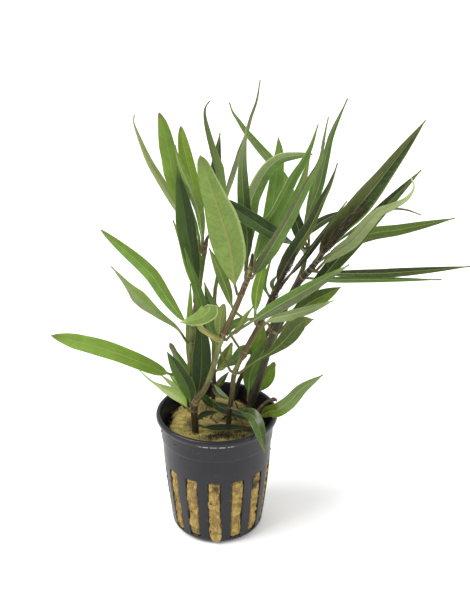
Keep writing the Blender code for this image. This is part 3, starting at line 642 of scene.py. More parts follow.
def leaf_skin(name, leaves, look, seed):
    """A blade with a pale midrib, slanting side veins and a green on either half that holds painted light and
    shade as well as the leaf's colour.

    The mesh carries where each point lies on the blade: millimetres across and along it, the
    share of its length, 1 on the upper side or 0 on the underside, and the share of its width
    from -1 at the left margin to 1 at the right one.
    """
    skin = Skin(name)
    across, along, share = skin.parts(skin.value("place", "Vector"))
    spread = skin.vector(across, along, seed * SEED_STEP)
    vein = side_veins(skin, across, along, spread, leaves)
    drawn = skin.vector(skin.times(across, 2.0), skin.times(along, 0.07), seed)
    streaks = skin.noise(drawn, 0.9, 4.0, 0.65)
    faint = skin.step(skin.noise(spread, 0.16), 0.40, 0.58, 0.15, 1.0)
    net = skin.times(skin.step(skin.cells(spread, 0.42, "DISTANCE_TO_EDGE"), 0.09, 0.0), faint)
    marks = skin.calc("MAXIMUM", vein, net)
    rib_width = skin.times(skin.less(1.15, share), look["rib_width"])
    rib = skin.step(skin.less(skin.calc("ABSOLUTE", across), rib_width), 0.10, -0.06)
    mottle = skin.noise(spread, 0.22, 4.0, 0.6)
    fine = skin.noise(spread, 1.5, 3.0, 0.6)
    on_right = skin.step(across, -0.15, 0.15)

    # Each half's green holds painted light and shade as well as the leaf's own colour.
    mottled = skin.step(mottle, 0.3, 0.7, 0.0, 0.45)
    left_green_and_shade = skin.mix(mottled, look["left"], look["left_dark"])
    right_green_and_shade = skin.mix(mottled, look["right"], look["right_dark"])
    top = skin.mix(on_right, left_green_and_shade, right_green_and_shade)
    top = skin.mix(skin.step(streaks, 0.54, 0.74, 0.0, look["streaks"]), top, look["rib"])
    top = skin.mix(skin.step(streaks, 0.47, 0.30, 0.0, 0.6), top, look["left_dark"])
    top = skin.mix(skin.times(marks, look["net"]), top, look["left_dark"])
    top = skin.mix(skin.times(vein, look["veins"]), top, look["rib"])
    top = skin.mix(skin.times(rib, look["rib_strength"]), top, look["rib"])
    low = skin.mix(on_right, look["under"], look["under_right"])
    low = skin.mix(skin.step(mottle, 0.3, 0.7, 0.0, 0.4), low, look["under_dark"])
    low = skin.mix(skin.step(streaks, 0.56, 0.74, 0.0, look["streaks"]), low, look["rib"])
    low = skin.mix(skin.times(marks, look["net"] + 0.15), low, look["under_dark"])
    low = skin.mix(skin.times(rib, 0.8), low, look["under_rib"])
    upper = skin.value("side")
    base = skin.mix(upper, low, top)

    ragged = skin.plus(skin.value("span"), skin.swing(fine, 0.25))
    # A pale margin where a look asks for one: a painted highlight along that edge.
    for side, strength in ((-1, look["edge_left"]), (1, look["edge_right"])):
        if strength:
            base = skin.mix(skin.step(ragged, 0.78 * side, 0.92 * side, 0.0, strength), base, look["edge"])
    tip = skin.step(share, 1.0 - look["tip_length"], 1.0, 0.0, look["tip_strength"])
    base = skin.mix(tip, base, look["tip"])
    foot = skin.step(skin.plus(share, skin.swing(fine, 0.08)), look["base_length"], 0.0)
    base = skin.mix(skin.times(foot, look["base_strength"]), base, look["base"])
    furrows = skin.vector(skin.times(across, 2.4), skin.times(along, 0.12), seed)
    grooves = skin.step(skin.noise(furrows, 1.0, 2.0), 0.56, 0.40, 0.0, 0.8)
    stalk = skin.mix(grooves, look["stalk_colour"], look["groove"])
    on_stalk = skin.step(share, look["stalk"] * 1.1 + 0.015, look["stalk"] * 0.7, 0.0, 0.9)
    base = skin.mix(on_stalk, base, stalk)
    base = skin.mix(skin.step(fine, 0.35, 0.7, 0.0, 0.05), base, look["rib"])

    raised = skin.plus(skin.times(vein, 0.5), skin.times(net, 0.25))
    raised = skin.plus(raised, skin.times(fine, 0.25))
    rough = skin.plus(skin.step(upper, 0.0, 1.0, 0.62, look["rough"]), skin.times(fine, 0.10))
    return skin.finish(
        Base_Color=base, Roughness=rough, Normal=skin.bump(raised, 0.35, 0.00022),
        Specular_IOR_Level=look["gloss"],
    )


# Net pot


def wall_radius(height):
    """Outer radius of the tapered wall."""
    below = np.maximum(1.0 - height / COLLAR_FOOT, 0.0)
    above = np.maximum(height - COLLAR_FOOT, 0.0)
    return WALL_RADIUS - (WALL_RADIUS - BASE_RADIUS) * below**WALL_CURVE + WALL_SLOPE * above


def outline(half_x, half_y, columns, rows, corner=0.0):
    """Points round a rectangle whose corners may be rounded, in step from one size to another."""
    flat = np.linspace(-1, 1, columns + 1)[:-1]
    tall = np.linspace(0, 1, rows + 1)[:-1]
    tall = (0.45 * tall + 0.55 * (0.5 - 0.5 * np.cos(math.pi * tall))) * 2 - 1
    lower = np.stack((flat, np.full(columns, -1.0)), axis=1)
    right = np.stack((np.full(rows, 1.0), tall), axis=1)
    loop = np.concatenate((lower, right, -lower, -right)) * (half_x, half_y)
    if corner:
        beyond = np.maximum(np.abs(loop) - (half_x - corner, half_y - corner), 0.0)
        cut = (beyond > 0).all(axis=1)
        reach = np.linalg.norm(beyond[cut], axis=1, keepdims=True)
        held = np.abs(loop[cut]) - beyond[cut]
        loop[cut] = np.sign(loop[cut]) * (held + beyond[cut] / reach * corner)
    return loop


def pierced_cells(count, half, hole, columns, rows, corner, edge, depth, lay):
    """Cells of a sheet with a rounded hole in each. lay(cell, x, y, depth) places the points."""
    loops = [(outline(*half, columns, rows), 0.0)]
    rim = outline(hole[0] + edge, hole[1] + edge, columns, rows, corner + edge)
    for share in (0.35, 0.65, 0.85, 1.0):
        loops.append((loops[0][0] * (1 - share) + rim * share, 0.0))
    for turn in (30, 60, 90):
        a = math.radians(turn)
        inset = edge * (1 - math.sin(a))
        loop = outline(hole[0] + inset, hole[1] + inset, columns, rows, corner + inset)
        loops.append((loop, edge * (1 - math.cos(a))))
    half_depth = 0.5 * depth
    loops += [(loop, depth - d) for loop, d in reversed(loops)]
    loops.insert(len(loops) // 2, (outline(*hole, columns, rows, corner), half_depth))
    size = len(loops[0][0])
    parts = []
    for cell in range(count):
        points = np.concatenate([lay(cell, loop[:, 0], loop[:, 1], d) for loop, d in loops])
        parts.append((points, grid_faces(len(loops), size).tolist(), {}))
    return parts


def turned_rings(profile, columns, start):
    """Rings round the pot's axis, from a profile of radii and heights."""
    angles = np.radians(start + np.arange(columns) * 360.0 / columns)
    rings = [polar(radius, angles, height) for radius, height in profile]
    return np.concatenate(rings), grid_faces(len(profile), columns).tolist(), {}


def wall_cells(corner, edge):
    """The cells of the side wall, each with a slot in it."""
    middle = 0.5 * (CELL_FOOT + CELL_TOP)
    slot_middle = 0.5 * (SLOT_FOOT + SLOT_TOP)
    mean = wall_radius(slot_middle)
    half = (mean * math.radians(PITCH / 2), 0.5 * (CELL_TOP - CELL_FOOT))
    hole = (half[0] * SLOT_SHARE, 0.5 * (SLOT_TOP - SLOT_FOOT))
    # The hole's middle lies below the cell's, so the loops between them are drawn towards it.
    drop = slot_middle - middle

    def in_wall(cell, x, y, depth):
        inside = np.clip((half[1] - np.abs(y)) / (half[1] - hole[1] - edge), 0.0, 1.0)
        across = np.clip((half[0] - np.abs(x)) / (half[0] - hole[0] - edge), 0.0, 1.0)
        heights = middle + (y + drop * np.minimum(inside, across))
        angles = math.radians(SLOT_TURN + cell * PITCH) + x / mean
        return polar(wall_radius(heights) - depth, angles, heights)

    return pierced_cells(SLOTS, half, hole, CELL_COLUMNS, CELL_ROWS, corner, edge, WALL, in_wall)


def base_cells():
    """The cells of the base, each with a drain slot in it and as wide as two of the wall's."""
    mean = 0.5 * (DRAIN_INNER + DRAIN_OUTER)
    half = (mean * math.radians(PITCH), DRAIN_CELL_HALF)
    hole = (0.5 * half[0] * SLOT_SHARE, 0.5 * (DRAIN_OUTER - DRAIN_INNER))

    def in_base(cell, x, y, depth):
        return polar(mean + y, math.radians(SLOT_TURN + 2 * cell * PITCH) + x / mean, depth)

    return pierced_cells(
        SLOTS // 2, half, hole, 2 * CELL_COLUMNS, DRAIN_CELL_ROWS, DRAIN_CORNER, DRAIN_EDGE, FLOOR, in_base,
    )


def pot_parts(pot):
    """The wall's cells, the collar and rim above them, and the foot and base below."""
    columns = SLOTS * CELL_COLUMNS
    start = SLOT_TURN - PITCH / 2
    rim = [
        (wall_radius(CELL_TOP), CELL_TOP), (wall_radius(40), 40), (wall_radius(44.1), 44.1), (23.42, 44.42),
        (23.62, 44.55), (23.86, 44.62), (23.95, 44.8), (24.0, 45.4), (24.15, 48.5), (24.32, 51.2),
        (24.45, 52.0), (24.75, 52.55), (25.25, 52.85), (25.7, 53.15), (25.94, 53.6), (26.0, 54.1),
        (25.98, 54.6), (25.85, 55.05), (25.6, 55.38), (25.25, 55.56), (24.9, POT_HEIGHT), (24.55, 55.54),
        (24.3, 55.35), (24.12, 55.0), (23.98, 54.4), (23.5, 52.9), (22.95, 49.5), (22.5, 45.5),
        (wall_radius(40) - WALL, 40), (wall_radius(CELL_TOP) - WALL, CELL_TOP),
    ]
    foot = wall_radius(CELL_FOOT)
    inner = 0.5 * (DRAIN_INNER + DRAIN_OUTER) - DRAIN_CELL_HALF
    outer = inner + 2 * DRAIN_CELL_HALF
    under = [
        (outer, 0.0), (16.3, 0.0), (17.2, 0.12), (18.0, 0.5), (18.7, 1.05), (19.2, 1.6), (foot, CELL_FOOT),
    ]
    over = [(outer, FLOOR), (16.8, FLOOR), (17.5, 1.6), (18.0, 1.85), (foot - WALL, CELL_FOOT)]
    parts = wall_cells(pot.slot_corner / MM, pot.slot_round / MM) + base_cells()
    parts += [turned_rings(profile, columns, start) for profile in (rim, under, over)]
    for height in (0.0, FLOOR):
        disc = turned_rings([(inner, height), (2.5, height), (0.4, height)], columns, start)
        disc[1].append(list(range(2 * columns, 3 * columns)))
        parts.append(disc)
    return parts


def off_slot(angles):
    """How many degrees each angle lies from the middle of the nearest slot."""
    return np.abs((angles - SLOT_TURN + PITCH / 2) % PITCH - PITCH / 2)


def blob(centre, size, seed, detail=2):
    """An uneven lump."""
    shape = bmesh.new()
    bmesh.ops.create_icosphere(shape, subdivisions=detail, radius=1.0)
    points = np.array([v.co for v in shape.verts])
    faces = [[v.index for v in f.verts] for f in shape.faces]
    shape.free()
    points = points * (1 + 0.35 * rumple(points, 1.1, seed)[:, None])
    return centre + points * size, faces, {}


class HYGROPHILA_OT_net_pot(Operator):
    """Makes the slotted net pot and the dirt on it"""

    bl_idname = "hygrophila.net_pot"
    bl_label = "Net pot"

    def execute(self, context):
        pot = context.scene.hygrophila_pot
        plastic = plastic_skin("black plastic", pot.plastic)
        shell = joined(pot_parts(pot))
        new_piece("net_pot_shell", shell, plastic, ["net_pot"], crease=40.0, weld=0.004)
        source = np.random.default_rng(POT_SEED)
        grains = []
        for number in range(pot.speck_count):
            angle = math.radians(source.uniform(-200, 20))
            height = source.uniform(36.5, 52.0) if number % 3 else source.uniform(4.0, 36.0)
            radius = wall_radius(height) + (0.45 if height > 45 else 0.0)
            size = source.uniform(0.12, 0.34) * np.array((1.0, 1.0, source.uniform(0.7, 1.4)))
            if height > 36 or off_slot(math.degrees(angle)) >= SLOT_HALF + 1:
                grains.append(blob(polar(radius, angle, height), size, number))
        new_piece("pot_specks", joined(grains), dirt_skin("dirt", pot.dirt))
        return {"FINISHED"}


# Rockwool


def gap_depth(angles):
    """How far the plug's side stands back from the pot at each angle, in its upper part."""
    depth = np.zeros(np.shape(angles))
    for middle, spread, most in WOOL_GAPS:
        off = (angles - middle + 180.0) % 360.0 - 180.0
        inside = np.clip(np.cos(math.pi / 2 * np.clip(off / spread, -1, 1)), 0.0, 1.0)
        depth += most * np.sqrt(inside)
    return depth


def slot_share(angles, heights):
    """1 in the middle of a slot's window and 0 behind the bars."""
    sides = smooth_step(off_slot(angles), SLOT_HALF - 0.1, SLOT_HALF - 1.6)
    foot = smooth_step(heights, SLOT_FOOT + 0.1, SLOT_FOOT + 1.0)
    head = smooth_step(heights, SLOT_TOP - 0.1, SLOT_TOP - 1.0)
    return sides * (foot * head)


def wool_side(angles, heights, wool):
    """Radius of the plug's side."""
    lumps, bulge = wool.lumps / MM, wool.bulge / MM
    a = np.radians(angles)
    at = polar(LUMP_RADIUS, a, heights)
    inside = wall_radius(np.maximum(heights, SLOT_FOOT)) - WALL - WOOL_CLEARANCE
    inside = inside - 1.0 * smooth_step(heights, SLOT_FOOT, 1.8)
    front = smooth_step(np.cos(a - math.radians(SLOT_TURN)), 0.3, 0.85)
    proud = WALL - 0.45 + front * (0.45 + bulge * (0.2 + 1.3 * rumple(at, 4.5, 21)))
    proud = proud + 0.35 * lumps * rumple(at, 1.3, 22) + 0.12 * rumple(at, 0.55, 25)
    radius = inside + slot_share(angles, heights) * proud
    gaps = gap_depth(angles) * smooth_step(heights, WOOL_GAP_FOOT, WOOL_GAP_HEAD)
    rough = smooth_step(gaps, 0.2, 1.2) * (0.5 * rumple(at, 3.0, 23) + 0.25 * rumple(at, 1.2, 24))
    return radius - gaps + rough


def wool_top(x, y, wool):
    """Height of the plug's top, away from its edge."""
    at = np.stack((x, y, np.zeros_like(x)), axis=-1)
    lumps = 0.75 * rumple(at, 7.0, 31) + 0.30 * rumple(at, 2.2, 32) + 0.14 * rumple(at, 0.9, 33)
    return WOOL_TOP + wool.lumps / MM * lumps


def edge_fall(share):
    """How far the plug's top falls off, by the share of the way out to its edge."""
    return EDGE_FALL * np.clip((share - EDGE_START) / EDGE_SPAN, 0, 1) ** 2


def stain_and_shade_share(points):
    """How stained the wool is at each point, with the painted shadow of the foliage on its top, from 0 to 1.
    """
    share = np.zeros(len(points))
    for x, y, z, across, deep, tall, most in WOOL_STAINS_AND_SHADE:
        off = (points - (x, y, z)) / (across, deep, tall)
        share = np.maximum(share, most * np.exp(-(off * off).sum(axis=1)))
    return np.minimum(share, 1.0)


def wool_plug(wool):
    """The plug's side in rings from the foot up, and its top in rings towards the middle."""
    turn = np.arange(WOOL_COLUMNS) * 360.0 / WOOL_COLUMNS
    in_slots = np.linspace(SLOT_FOOT - 0.1, SLOT_TOP + 0.1, 92)
    above = np.linspace(SLOT_TOP + 1.0, WOOL_TOP - 1.0, 18)
    angles, heights = np.meshgrid(turn, np.concatenate(((1.75, 2.4), in_slots, above)))
    radius = wool_side(angles, heights, wool)
    rings = list(polar(radius, np.radians(angles), heights))
    a = np.radians(turn)
    for share in np.concatenate((np.linspace(0.995, 0.93, 6), np.linspace(0.905, 0.02, 42))):
        x, y = radius[-1] * share * np.cos(a), radius[-1] * share * np.sin(a)
        rings.append(np.stack((x, y, wool_top(x, y, wool) - edge_fall(share)), axis=-1))
    points = np.concatenate(rings)
    faces = grid_faces(len(rings), WOOL_COLUMNS).tolist()
    faces.append(list(range(WOOL_COLUMNS)))
    faces.append(list(range(len(points) - WOOL_COLUMNS, len(points))))
    return points, faces, {"stain": stain_and_shade_share(points)}


def fibres(starts, headings, bends, lengths, radius, tones, segments=3):
    """Thin three-sided threads that taper to their ends."""
    count = len(starts)
    headings, sides = unit(headings), unit(np.cross(headings, OFF_AXIS))
    ups = np.cross(headings, sides)
    steps = np.linspace(0.0, 1.0, segments + 1)
    rings = []
    for step in steps:
        centre = starts + lengths[:, None] * (headings * step + bends * step * step)
        size = radius * (1 - 0.75 * step)
        for corner in range(3):
            turn = 2 * math.pi * corner / 3
            rings.append(centre + size * (math.cos(turn) * sides + math.sin(turn) * ups))
    size = 3 * (segments + 1)
    points = np.stack(rings, axis=1).reshape(-1, 3)
    firsts = size * np.arange(count)[:, None, None]
    quads = (grid_faces(segments + 1, 3)[None] + firsts).reshape(-1, 4).tolist()
    ends = np.array(((0, 1, 2), (size - 3, size - 2, size - 1)))
    caps = (ends[None] + firsts).reshape(-1, 3).tolist()
    return points, quads + caps, {"tone": np.repeat(tones, size)}


def slot_fibres(wool, source):
    """Short fibres on the wool in the slots, most of them upright."""
    count = wool.slot_fibres * SLOTS
    slot = np.arange(count) % SLOTS
    angles = SLOT_TURN + slot * PITCH + source.uniform(-1, 1, count) * (SLOT_HALF - 0.5)
    heights = source.uniform(SLOT_FOOT + 0.3, SLOT_TOP - 0.3, count)
    a = np.radians(angles)
    starts = polar(wool_side(angles, heights, wool), a, heights)
    out = polar(1.0, a, 0.0)
    round_pot = np.stack((-np.sin(a), np.cos(a), np.zeros(count)), axis=-1)
    lean = source.normal(size=count) * 0.55
    upright = np.where(source.uniform(size=count) < 0.6, -1.0, 1.0)
    headings = round_pot * lean[:, None] + UP * upright[:, None]
    headings += out * source.uniform(0.0, 0.25, count)[:, None]
    bends = -out * source.uniform(0.05, 0.3, count)[:, None] + source.normal(size=(count, 3)) * 0.12
    lengths = source.uniform(1.0, 3.4, count)
    room = np.where(upright < 0, heights - SLOT_FOOT, SLOT_TOP - heights)
    lengths = np.minimum(lengths, 0.6 + room)
    tones = source.uniform(0.45, 1.0, count) * (1 - 0.7 * stain_and_shade_share(starts))
    return fibres(starts - 0.1 * out, headings, bends, lengths, wool.fibre / MM, tones)


def top_fibres(wool, source):
    """Fibres that lie over the whole top of the plug."""
    count = wool.top_fibres
    a = source.uniform(0, 2 * math.pi, count)
    edge = wool_side(np.degrees(a), np.full(count, WOOL_TOP - 1.0), wool)
    r = edge * np.sqrt(source.uniform(0.02, 1.0, count))
    x, y = r * np.cos(a), r * np.sin(a)
    starts = np.stack((x, y, wool_top(x, y, wool) - edge_fall(r / edge) - 0.05), axis=-1)
    headings = source.normal(size=(count, 3)) * (1, 1, 0.0) + (0, 0, 0.35)
    headings[:, 2] *= source.uniform(0.0, 2.2, count)
    bend_x, bend_y = source.normal(size=count) * 0.3, source.normal(size=count) * 0.3
    bends = np.stack((bend_x, bend_y, np.full(count, -0.3)), axis=-1)
    lengths = source.uniform(0.9, 3.2, count)
    tones = source.uniform(0.5, 1.0, count) * (1 - 0.9 * stain_and_shade_share(starts))
    return fibres(starts, headings, bends, lengths, wool.fibre / MM, tones)


def rim_fibres(wool, source, count=1400):
    """Bleached fibres that stand on the plug behind its front edge."""
    a = np.radians(source.uniform(-165, -35, count))
    r = source.uniform(12.5, 21.5, count)
    x, y = r * np.cos(a), r * np.sin(a)
    starts = np.stack((x, y, wool_top(x, y, wool) - 0.2), axis=-1)
    headings = polar(1.0, a, 0.0) * source.uniform(0.0, 0.7, count)[:, None] + UP
    headings += source.normal(size=(count, 3)) * 0.35
    bends = source.normal(size=(count, 3)) * 0.15
    lengths = source.uniform(0.8, 2.2, count)
    tones = source.uniform(0.4, 1.0, count) * (1 - 0.5 * stain_and_shade_share(starts))
    return fibres(starts, headings, bends, lengths, wool.fibre / MM, tones)


def moss_fibres(wool, source, count=1500):
    """Dark mossy threads that lie over the wool in front of the stems."""
    x, y = source.normal(3.5, 4.6, count), source.uniform(-13.2, -9.6, count)
    a = np.arctan2(y, x)
    starts = np.stack((x, y, wool_top(x, y, wool) + source.uniform(-0.1, 0.5, count)), axis=-1)
    headings = np.stack((0.3 * np.cos(a), np.full(count, -0.7), source.uniform(0.0, 1.0, count)), axis=-1)
    headings += source.normal(size=(count, 3)) * 0.35
    bends = np.full((count, 3), (0, 0, -0.25))
    lengths = source.uniform(0.8, 2.2, count)
    return fibres(starts, headings, bends, lengths, 1.6 * wool.fibre / MM, source.uniform(0.0, 0.8, count))


def slot_strands(wool, source, count=420):
    """Brown strands that hang in the slots, most of them along the slots' sides."""
    slot = np.arange(count) % SLOTS
    side = np.where(source.uniform(size=count) < 0.5, -1.0, 1.0)
    angles = SLOT_TURN + slot * PITCH + side * (SLOT_HALF - source.uniform(0.5, 4.5, count))
    heights = source.uniform(SLOT_FOOT + 3.0, SLOT_TOP - 0.3, count)
    a = np.radians(angles)
    out = polar(1.0, a, 0.0)
    starts = polar(wool_side(angles, heights, wool), a, heights)
    headings = source.normal(size=(count, 3)) * 0.14 - UP
    bends = source.normal(size=(count, 3)) * 0.12 - 0.1 * out
    lengths = np.minimum(source.uniform(2.0, 7.0, count), heights - SLOT_FOOT)
    tones = source.uniform(size=count)
    return fibres(starts - 0.05 * out, headings, bends, lengths, 1.1 * wool.fibre / MM, tones, 5)


def tuft():
    """The lump of wool that hangs out of the front slot, made of folds one under another."""
    parts = []
    for number, (x, z, wide, tall) in enumerate(TUFT_FOLDS):
        centre = np.array((x, 0.75 - wall_radius(z), z))
        points, faces, _ = blob(centre, np.array((wide, 1.15, tall)), 70 + number, 4)
        points += 0.10 * rumple(points, 0.6, 77)[:, None] * (0.3, -1.0, 0.3)
        # Each fold is darker towards its top, under the fold above it.
        parts.append((points, faces, {"stain": 0.55 * smooth_step(points[:, 2] - z, 0.3 * tall, tall)}))
    return parts


def scraps(wool, source):
    """Dark threads and leaf scraps that stand in the wool among the stems, and a bud behind them."""
    parts = []
    steps = np.linspace(0.0, 1.0, 14)[:, None]
    for _ in range(wool.scrap_count):
        start = np.array((source.uniform(-8, 13), source.uniform(-4, 11), WOOL_TOP - 0.5))
        heading = np.array((source.normal() * 0.7, source.normal() * 0.3, source.uniform(0.4, 1.2)))
        bend = np.array((source.normal(), source.normal() * 0.5, -source.uniform(0.0, 1.0)))
        curve = start + unit(heading) * source.uniform(5.0, 12.0) * steps + bend * steps**2
        radii = source.uniform(0.22, 0.5) * (1 - 0.8 * steps[:, 0])
        points, faces, _ = tube(curve, radii, 8)
        parts.append((points, faces, {"tone": np.full(len(points), source.uniform(0.1, 0.9))}))
    points, faces, _ = blob(BUD, np.array((1.5, 1.3, 1.7)), 91, 3)
    parts.append((points, faces, {"tone": np.full(len(points), 0.5)}))
    return parts


class HYGROPHILA_OT_rockwool(Operator):
    """Makes the rockwool plug with its tuft, loose fibres, moss and scraps"""

    bl_idname = "hygrophila.rockwool"
    bl_label = "Rockwool"

    def execute(self, context):
        wool = context.scene.hygrophila_wool
        source = np.random.default_rng(WOOL_SEED)
        felt = wool_skin("rockwool", wool)
        loose = fibre_skin("rockwool fibres", wool.stain, wool.yellow)
        pale = fibre_skin("bleached fibres", tinted(wool.top, 0.6), tinted(wool.top, 1.25))
        brown = fibre_skin("brown strands", tinted(wool.stain, 0.5), wool.stain)
        moss = fibre_skin("moss", tinted(wool.moss, 0.4), wool.moss)
        for name, skin, made in (
            ("rockwool_plug", felt, wool_plug(wool)),
            ("rockwool_tuft", felt, joined(tuft())),
            ("rockwool_slot_fibres", loose, slot_fibres(wool, source)),
            ("rockwool_strands", brown, slot_strands(wool, source)),
            ("rockwool_top_fibres", loose, top_fibres(wool, source)),
            ("rockwool_rim_fibres", pale, rim_fibres(wool, source)),
            ("moss_fibres", moss, moss_fibres(wool, source)),
            ("scraps", moss, joined(scraps(wool, source))),
        ):
            nodes = ["rockwool"] if skin is felt else ()
            new_piece(name, made, skin, nodes, crease=180.0)
        return {"FINISHED"}


class HYGROPHILA_OT_twig(Operator):
    """Makes the dead twig with its forked end"""

    bl_idname = "hygrophila.twig"
    bl_label = "Twig"

    def execute(self, context):
        stems = context.scene.hygrophila_stems
        parts = []
        for route, thick, thin in TWIG_BRANCHES:
            curve = smooth_curve(route, 26)
            run = np.linspace(0, 1, len(curve))
            points, faces, turn = tube(curve, thick + (thin - thick) * run, TWIG_SIDES)
            outward = unit(points - np.repeat(curve, TWIG_SIDES, axis=0))
            points += 0.16 * rumple(points, 0.8, 41)[:, None] * outward
            along = np.repeat(run * 12, TWIG_SIDES)
            parts.append((points, faces, {"place": np.stack((turn * thick, along, 0 * turn), axis=1)}))
        skin = bark_skin("dead twig", stems.twig, stems.foot)
        new_piece("twig_bark", joined(parts), skin, ["twig"])
        return {"FINISHED"}


# Stems: the foot on the wool, the points above it, and the radius at each of them from the foot up
STEMS = {
    "stem_front": {
        "foot": (-9.0, -8.0),
        "route": ((-9, -9, 64), (-5, -10, 71.5), (-2, -11.5, 80), (1.5, -13, 94.5), (8, -15, 111.5),
                  (11.5, -16, 121.5), (13.5, -17, 128), (14.5, -17, 136)),
        "radii": (1.35, 1.35, 1.25, 1.2, 1.15, 1.15, 1.1, 1.0, 0.4),
    },
    "stem_middle": {
        "foot": (5.0, -3.0),
        "route": ((5.5, -3, 57.5), (6.5, -3, 65), (7.5, -3, 75), (12, -3.5, 86.5), (17.5, -4, 98),
                  (23.5, -5, 113.5), (26, -5.5, 120), (29, -6, 125.5)),
        "radii": (1.05, 1.05, 1.05, 1.05, 1.05, 1.1, 1.05, 0.95, 0.5),
    },
    "stem_left": {
        "foot": (-13.5, 13.0),
        "route": ((-13, 13, 58), (-11.5, 12.5, 70.5), (-10, 12, 89.5), (-8.5, 12, 99.5), (-7, 12, 110),
                  (-5.5, 13, 120), (-4, 13, 128.5), (-3, 13, 131.5)),
        "radii": (1.5, 1.5, 1.4, 1.3, 1.2, 1.0, 1.0, 0.8, 0.4),
    },
    "stem_back": {
        "foot": (-2.0, 17.0),
        "route": ((-1.5, 17, 56), (-1.5, 17, 76), (-1, 17, 98.5), (0, 17, 108.5), (4, 17, 122),
                  (4, 17, 128.5)),
        "radii": (0.9, 0.9, 0.85, 0.8, 0.8, 0.8, 0.4),
    },
    "stem_rear": {
        "foot": (7.5, 19.5),
        "route": ((9.5, 20, 58.5), (12.5, 20.5, 64.5), (15.5, 20.5, 70.5), (25, 19.5, 89), (35.5, 18, 111.5),
                  (37.5, 17, 122), (38.5, 16, 126.5)),
        "radii": (1.0, 1.0, 1.0, 1.1, 1.0, 1.0, 1.0, 0.5),
    },
    "stem_right": {
        "foot": (14.0, 9.0),
        "route": ((15.5, 9, 56.5), (17.5, 8.5, 63), (20, 8, 73), (23, 7, 86), (25.5, 6, 93.5), (33, 3, 113),
                  (38.5, 1, 121.5), (40.5, 0, 125), (45.5, -1, 133.5), (51, -2, 142)),
        "radii": (1.8, 1.7, 1.6, 1.5, 1.5, 1.4, 1.3, 1.2, 1.1, 0.8, 0.3),
    },
}

# How green and how dark each stem is, from 0 to 1, at some heights
STEM_LOOKS = {
    "stem_front": (
        (50, 0.1, 0.95), (58, 0.15, 0.8), (66, 0.4, 0.4), (90, 0.55, 0.35), (94, 0.95, 0.1), (99, 0.2, 0.25),
        (136, 0.3, 0.5),
    ),
    "stem_middle": (
        (50, 0.3, 0.85), (66, 0.5, 0.6), (80, 0.5, 0.4), (86, 0.2, 0.3), (110, 0.2, 0.5), (126, 0.2, 0.75),
    ),
    "stem_left": ((50, 0.4, 0.7), (70, 0.6, 0.45), (100, 0.45, 0.35), (132, 0.3, 0.5)),
    "stem_back": ((50, 0.4, 0.85), (80, 0.7, 0.45), (128, 0.7, 0.4)),
    "stem_rear": ((50, 0.4, 0.9), (80, 0.4, 0.7), (127, 0.3, 0.65)),
    "stem_right": ((50, 0.4, 0.95), (80, 0.8, 0.85), (110, 0.6, 0.92), (142, 0.5, 0.92)),
}

# Dry bristles at the foot of some leaves: the line they stand along, their spread and their number
BRISTLES = (
    ("stem_right", ((42.5, -5.5, 131.5), (46.5, -9.5, 140), (51.5, -13, 148), (56, -16.5, 155)), 0.8, 280),
    (
        "stem_middle",
        ((19.5, -7, 104), (22.5, -7.5, 110.5), (25.5, -8.5, 118), (28.5, -10.5, 126), (31, -12.5, 133)),
        0.5, 380,
    ),
)


class Stem:
    """A stem's curve from its foot on the wool to its tip, with its radius at every point."""

    def __init__(self, foot, route, radii):
        held = [(*foot, WOOL_TOP + GAP), *route]
        self.curve = smooth_curve(held, CURVE_STEPS)
        spans = np.linalg.norm(np.diff(np.asarray(held, float), axis=0), axis=1)
        marks = np.concatenate(([0.0], np.cumsum(spans))) / spans.sum()
        self.radii = np.interp(np.linspace(0.0, 1.0, CURVE_STEPS), marks, radii)
        self.along = directions(self.curve)

    def beside(self, height, towards, reach=None):
        """The point beside the stem at this height, on the side that faces a leaf.

        A reach is a share of the stem's radius. Without one, the point stands clear of the stem.
        """
        i = int(np.argmin(np.abs(self.curve[:, 2] - height)))
        out = np.asarray(towards, float) - self.curve[i]
        out = unit(out - self.along[i] * np.dot(out, self.along[i]))
        reach = self.radii[i] + LEAF_CLEARANCE if reach is None else self.radii[i] * reach
        return self.curve[i] + out * reach

    def mesh(self, nodes, cast, stems):
        """A ribbed stem that swells at its nodes and runs down into the wool."""
        path = np.vstack((self.curve[0] - STEM_SUNK * UP, self.curve))
        run = np.concatenate(([0.0], np.cumsum(np.linalg.norm(np.diff(path, axis=0), axis=1))))
        places = np.append(np.arange(0.0, run[-1], stems.ring_pitch / MM), run[-1])
        centres = pick(path, run, places)
        radii = np.interp(places, run, np.append(self.radii[0], self.radii))
        near = np.zeros(len(places))
        for height in nodes:
            near = np.maximum(near, np.exp(-((centres[:, 2] - height) ** 2)))
        radii = radii * (1 + stems.node_swelling * near)
        radii[-1] *= 0.5
        points, faces, turn = tube(centres, radii, STEM_SIDES, 0.04)
        middles, radii, near, along = (
            np.repeat(values, STEM_SIDES, axis=0) for values in (centres, radii, near, places - STEM_SUNK)
        )
        points += 0.05 * rumple(points, 1.5, 61)[:, None] * unit(points - middles)
        steps, greens, darks = np.array(cast).T
        green, dark = np.interp(middles[:, 2], steps, greens), np.interp(middles[:, 2], steps, darks)
        # The cast holds each point's green and dark shares, and painted shade on the stem's two flanks.
        return points, faces, {
            "place": np.stack((turn * radii, along, near), axis=1),
            "cast": np.stack((green, dark, np.cos(turn) ** 2), axis=1),
        }


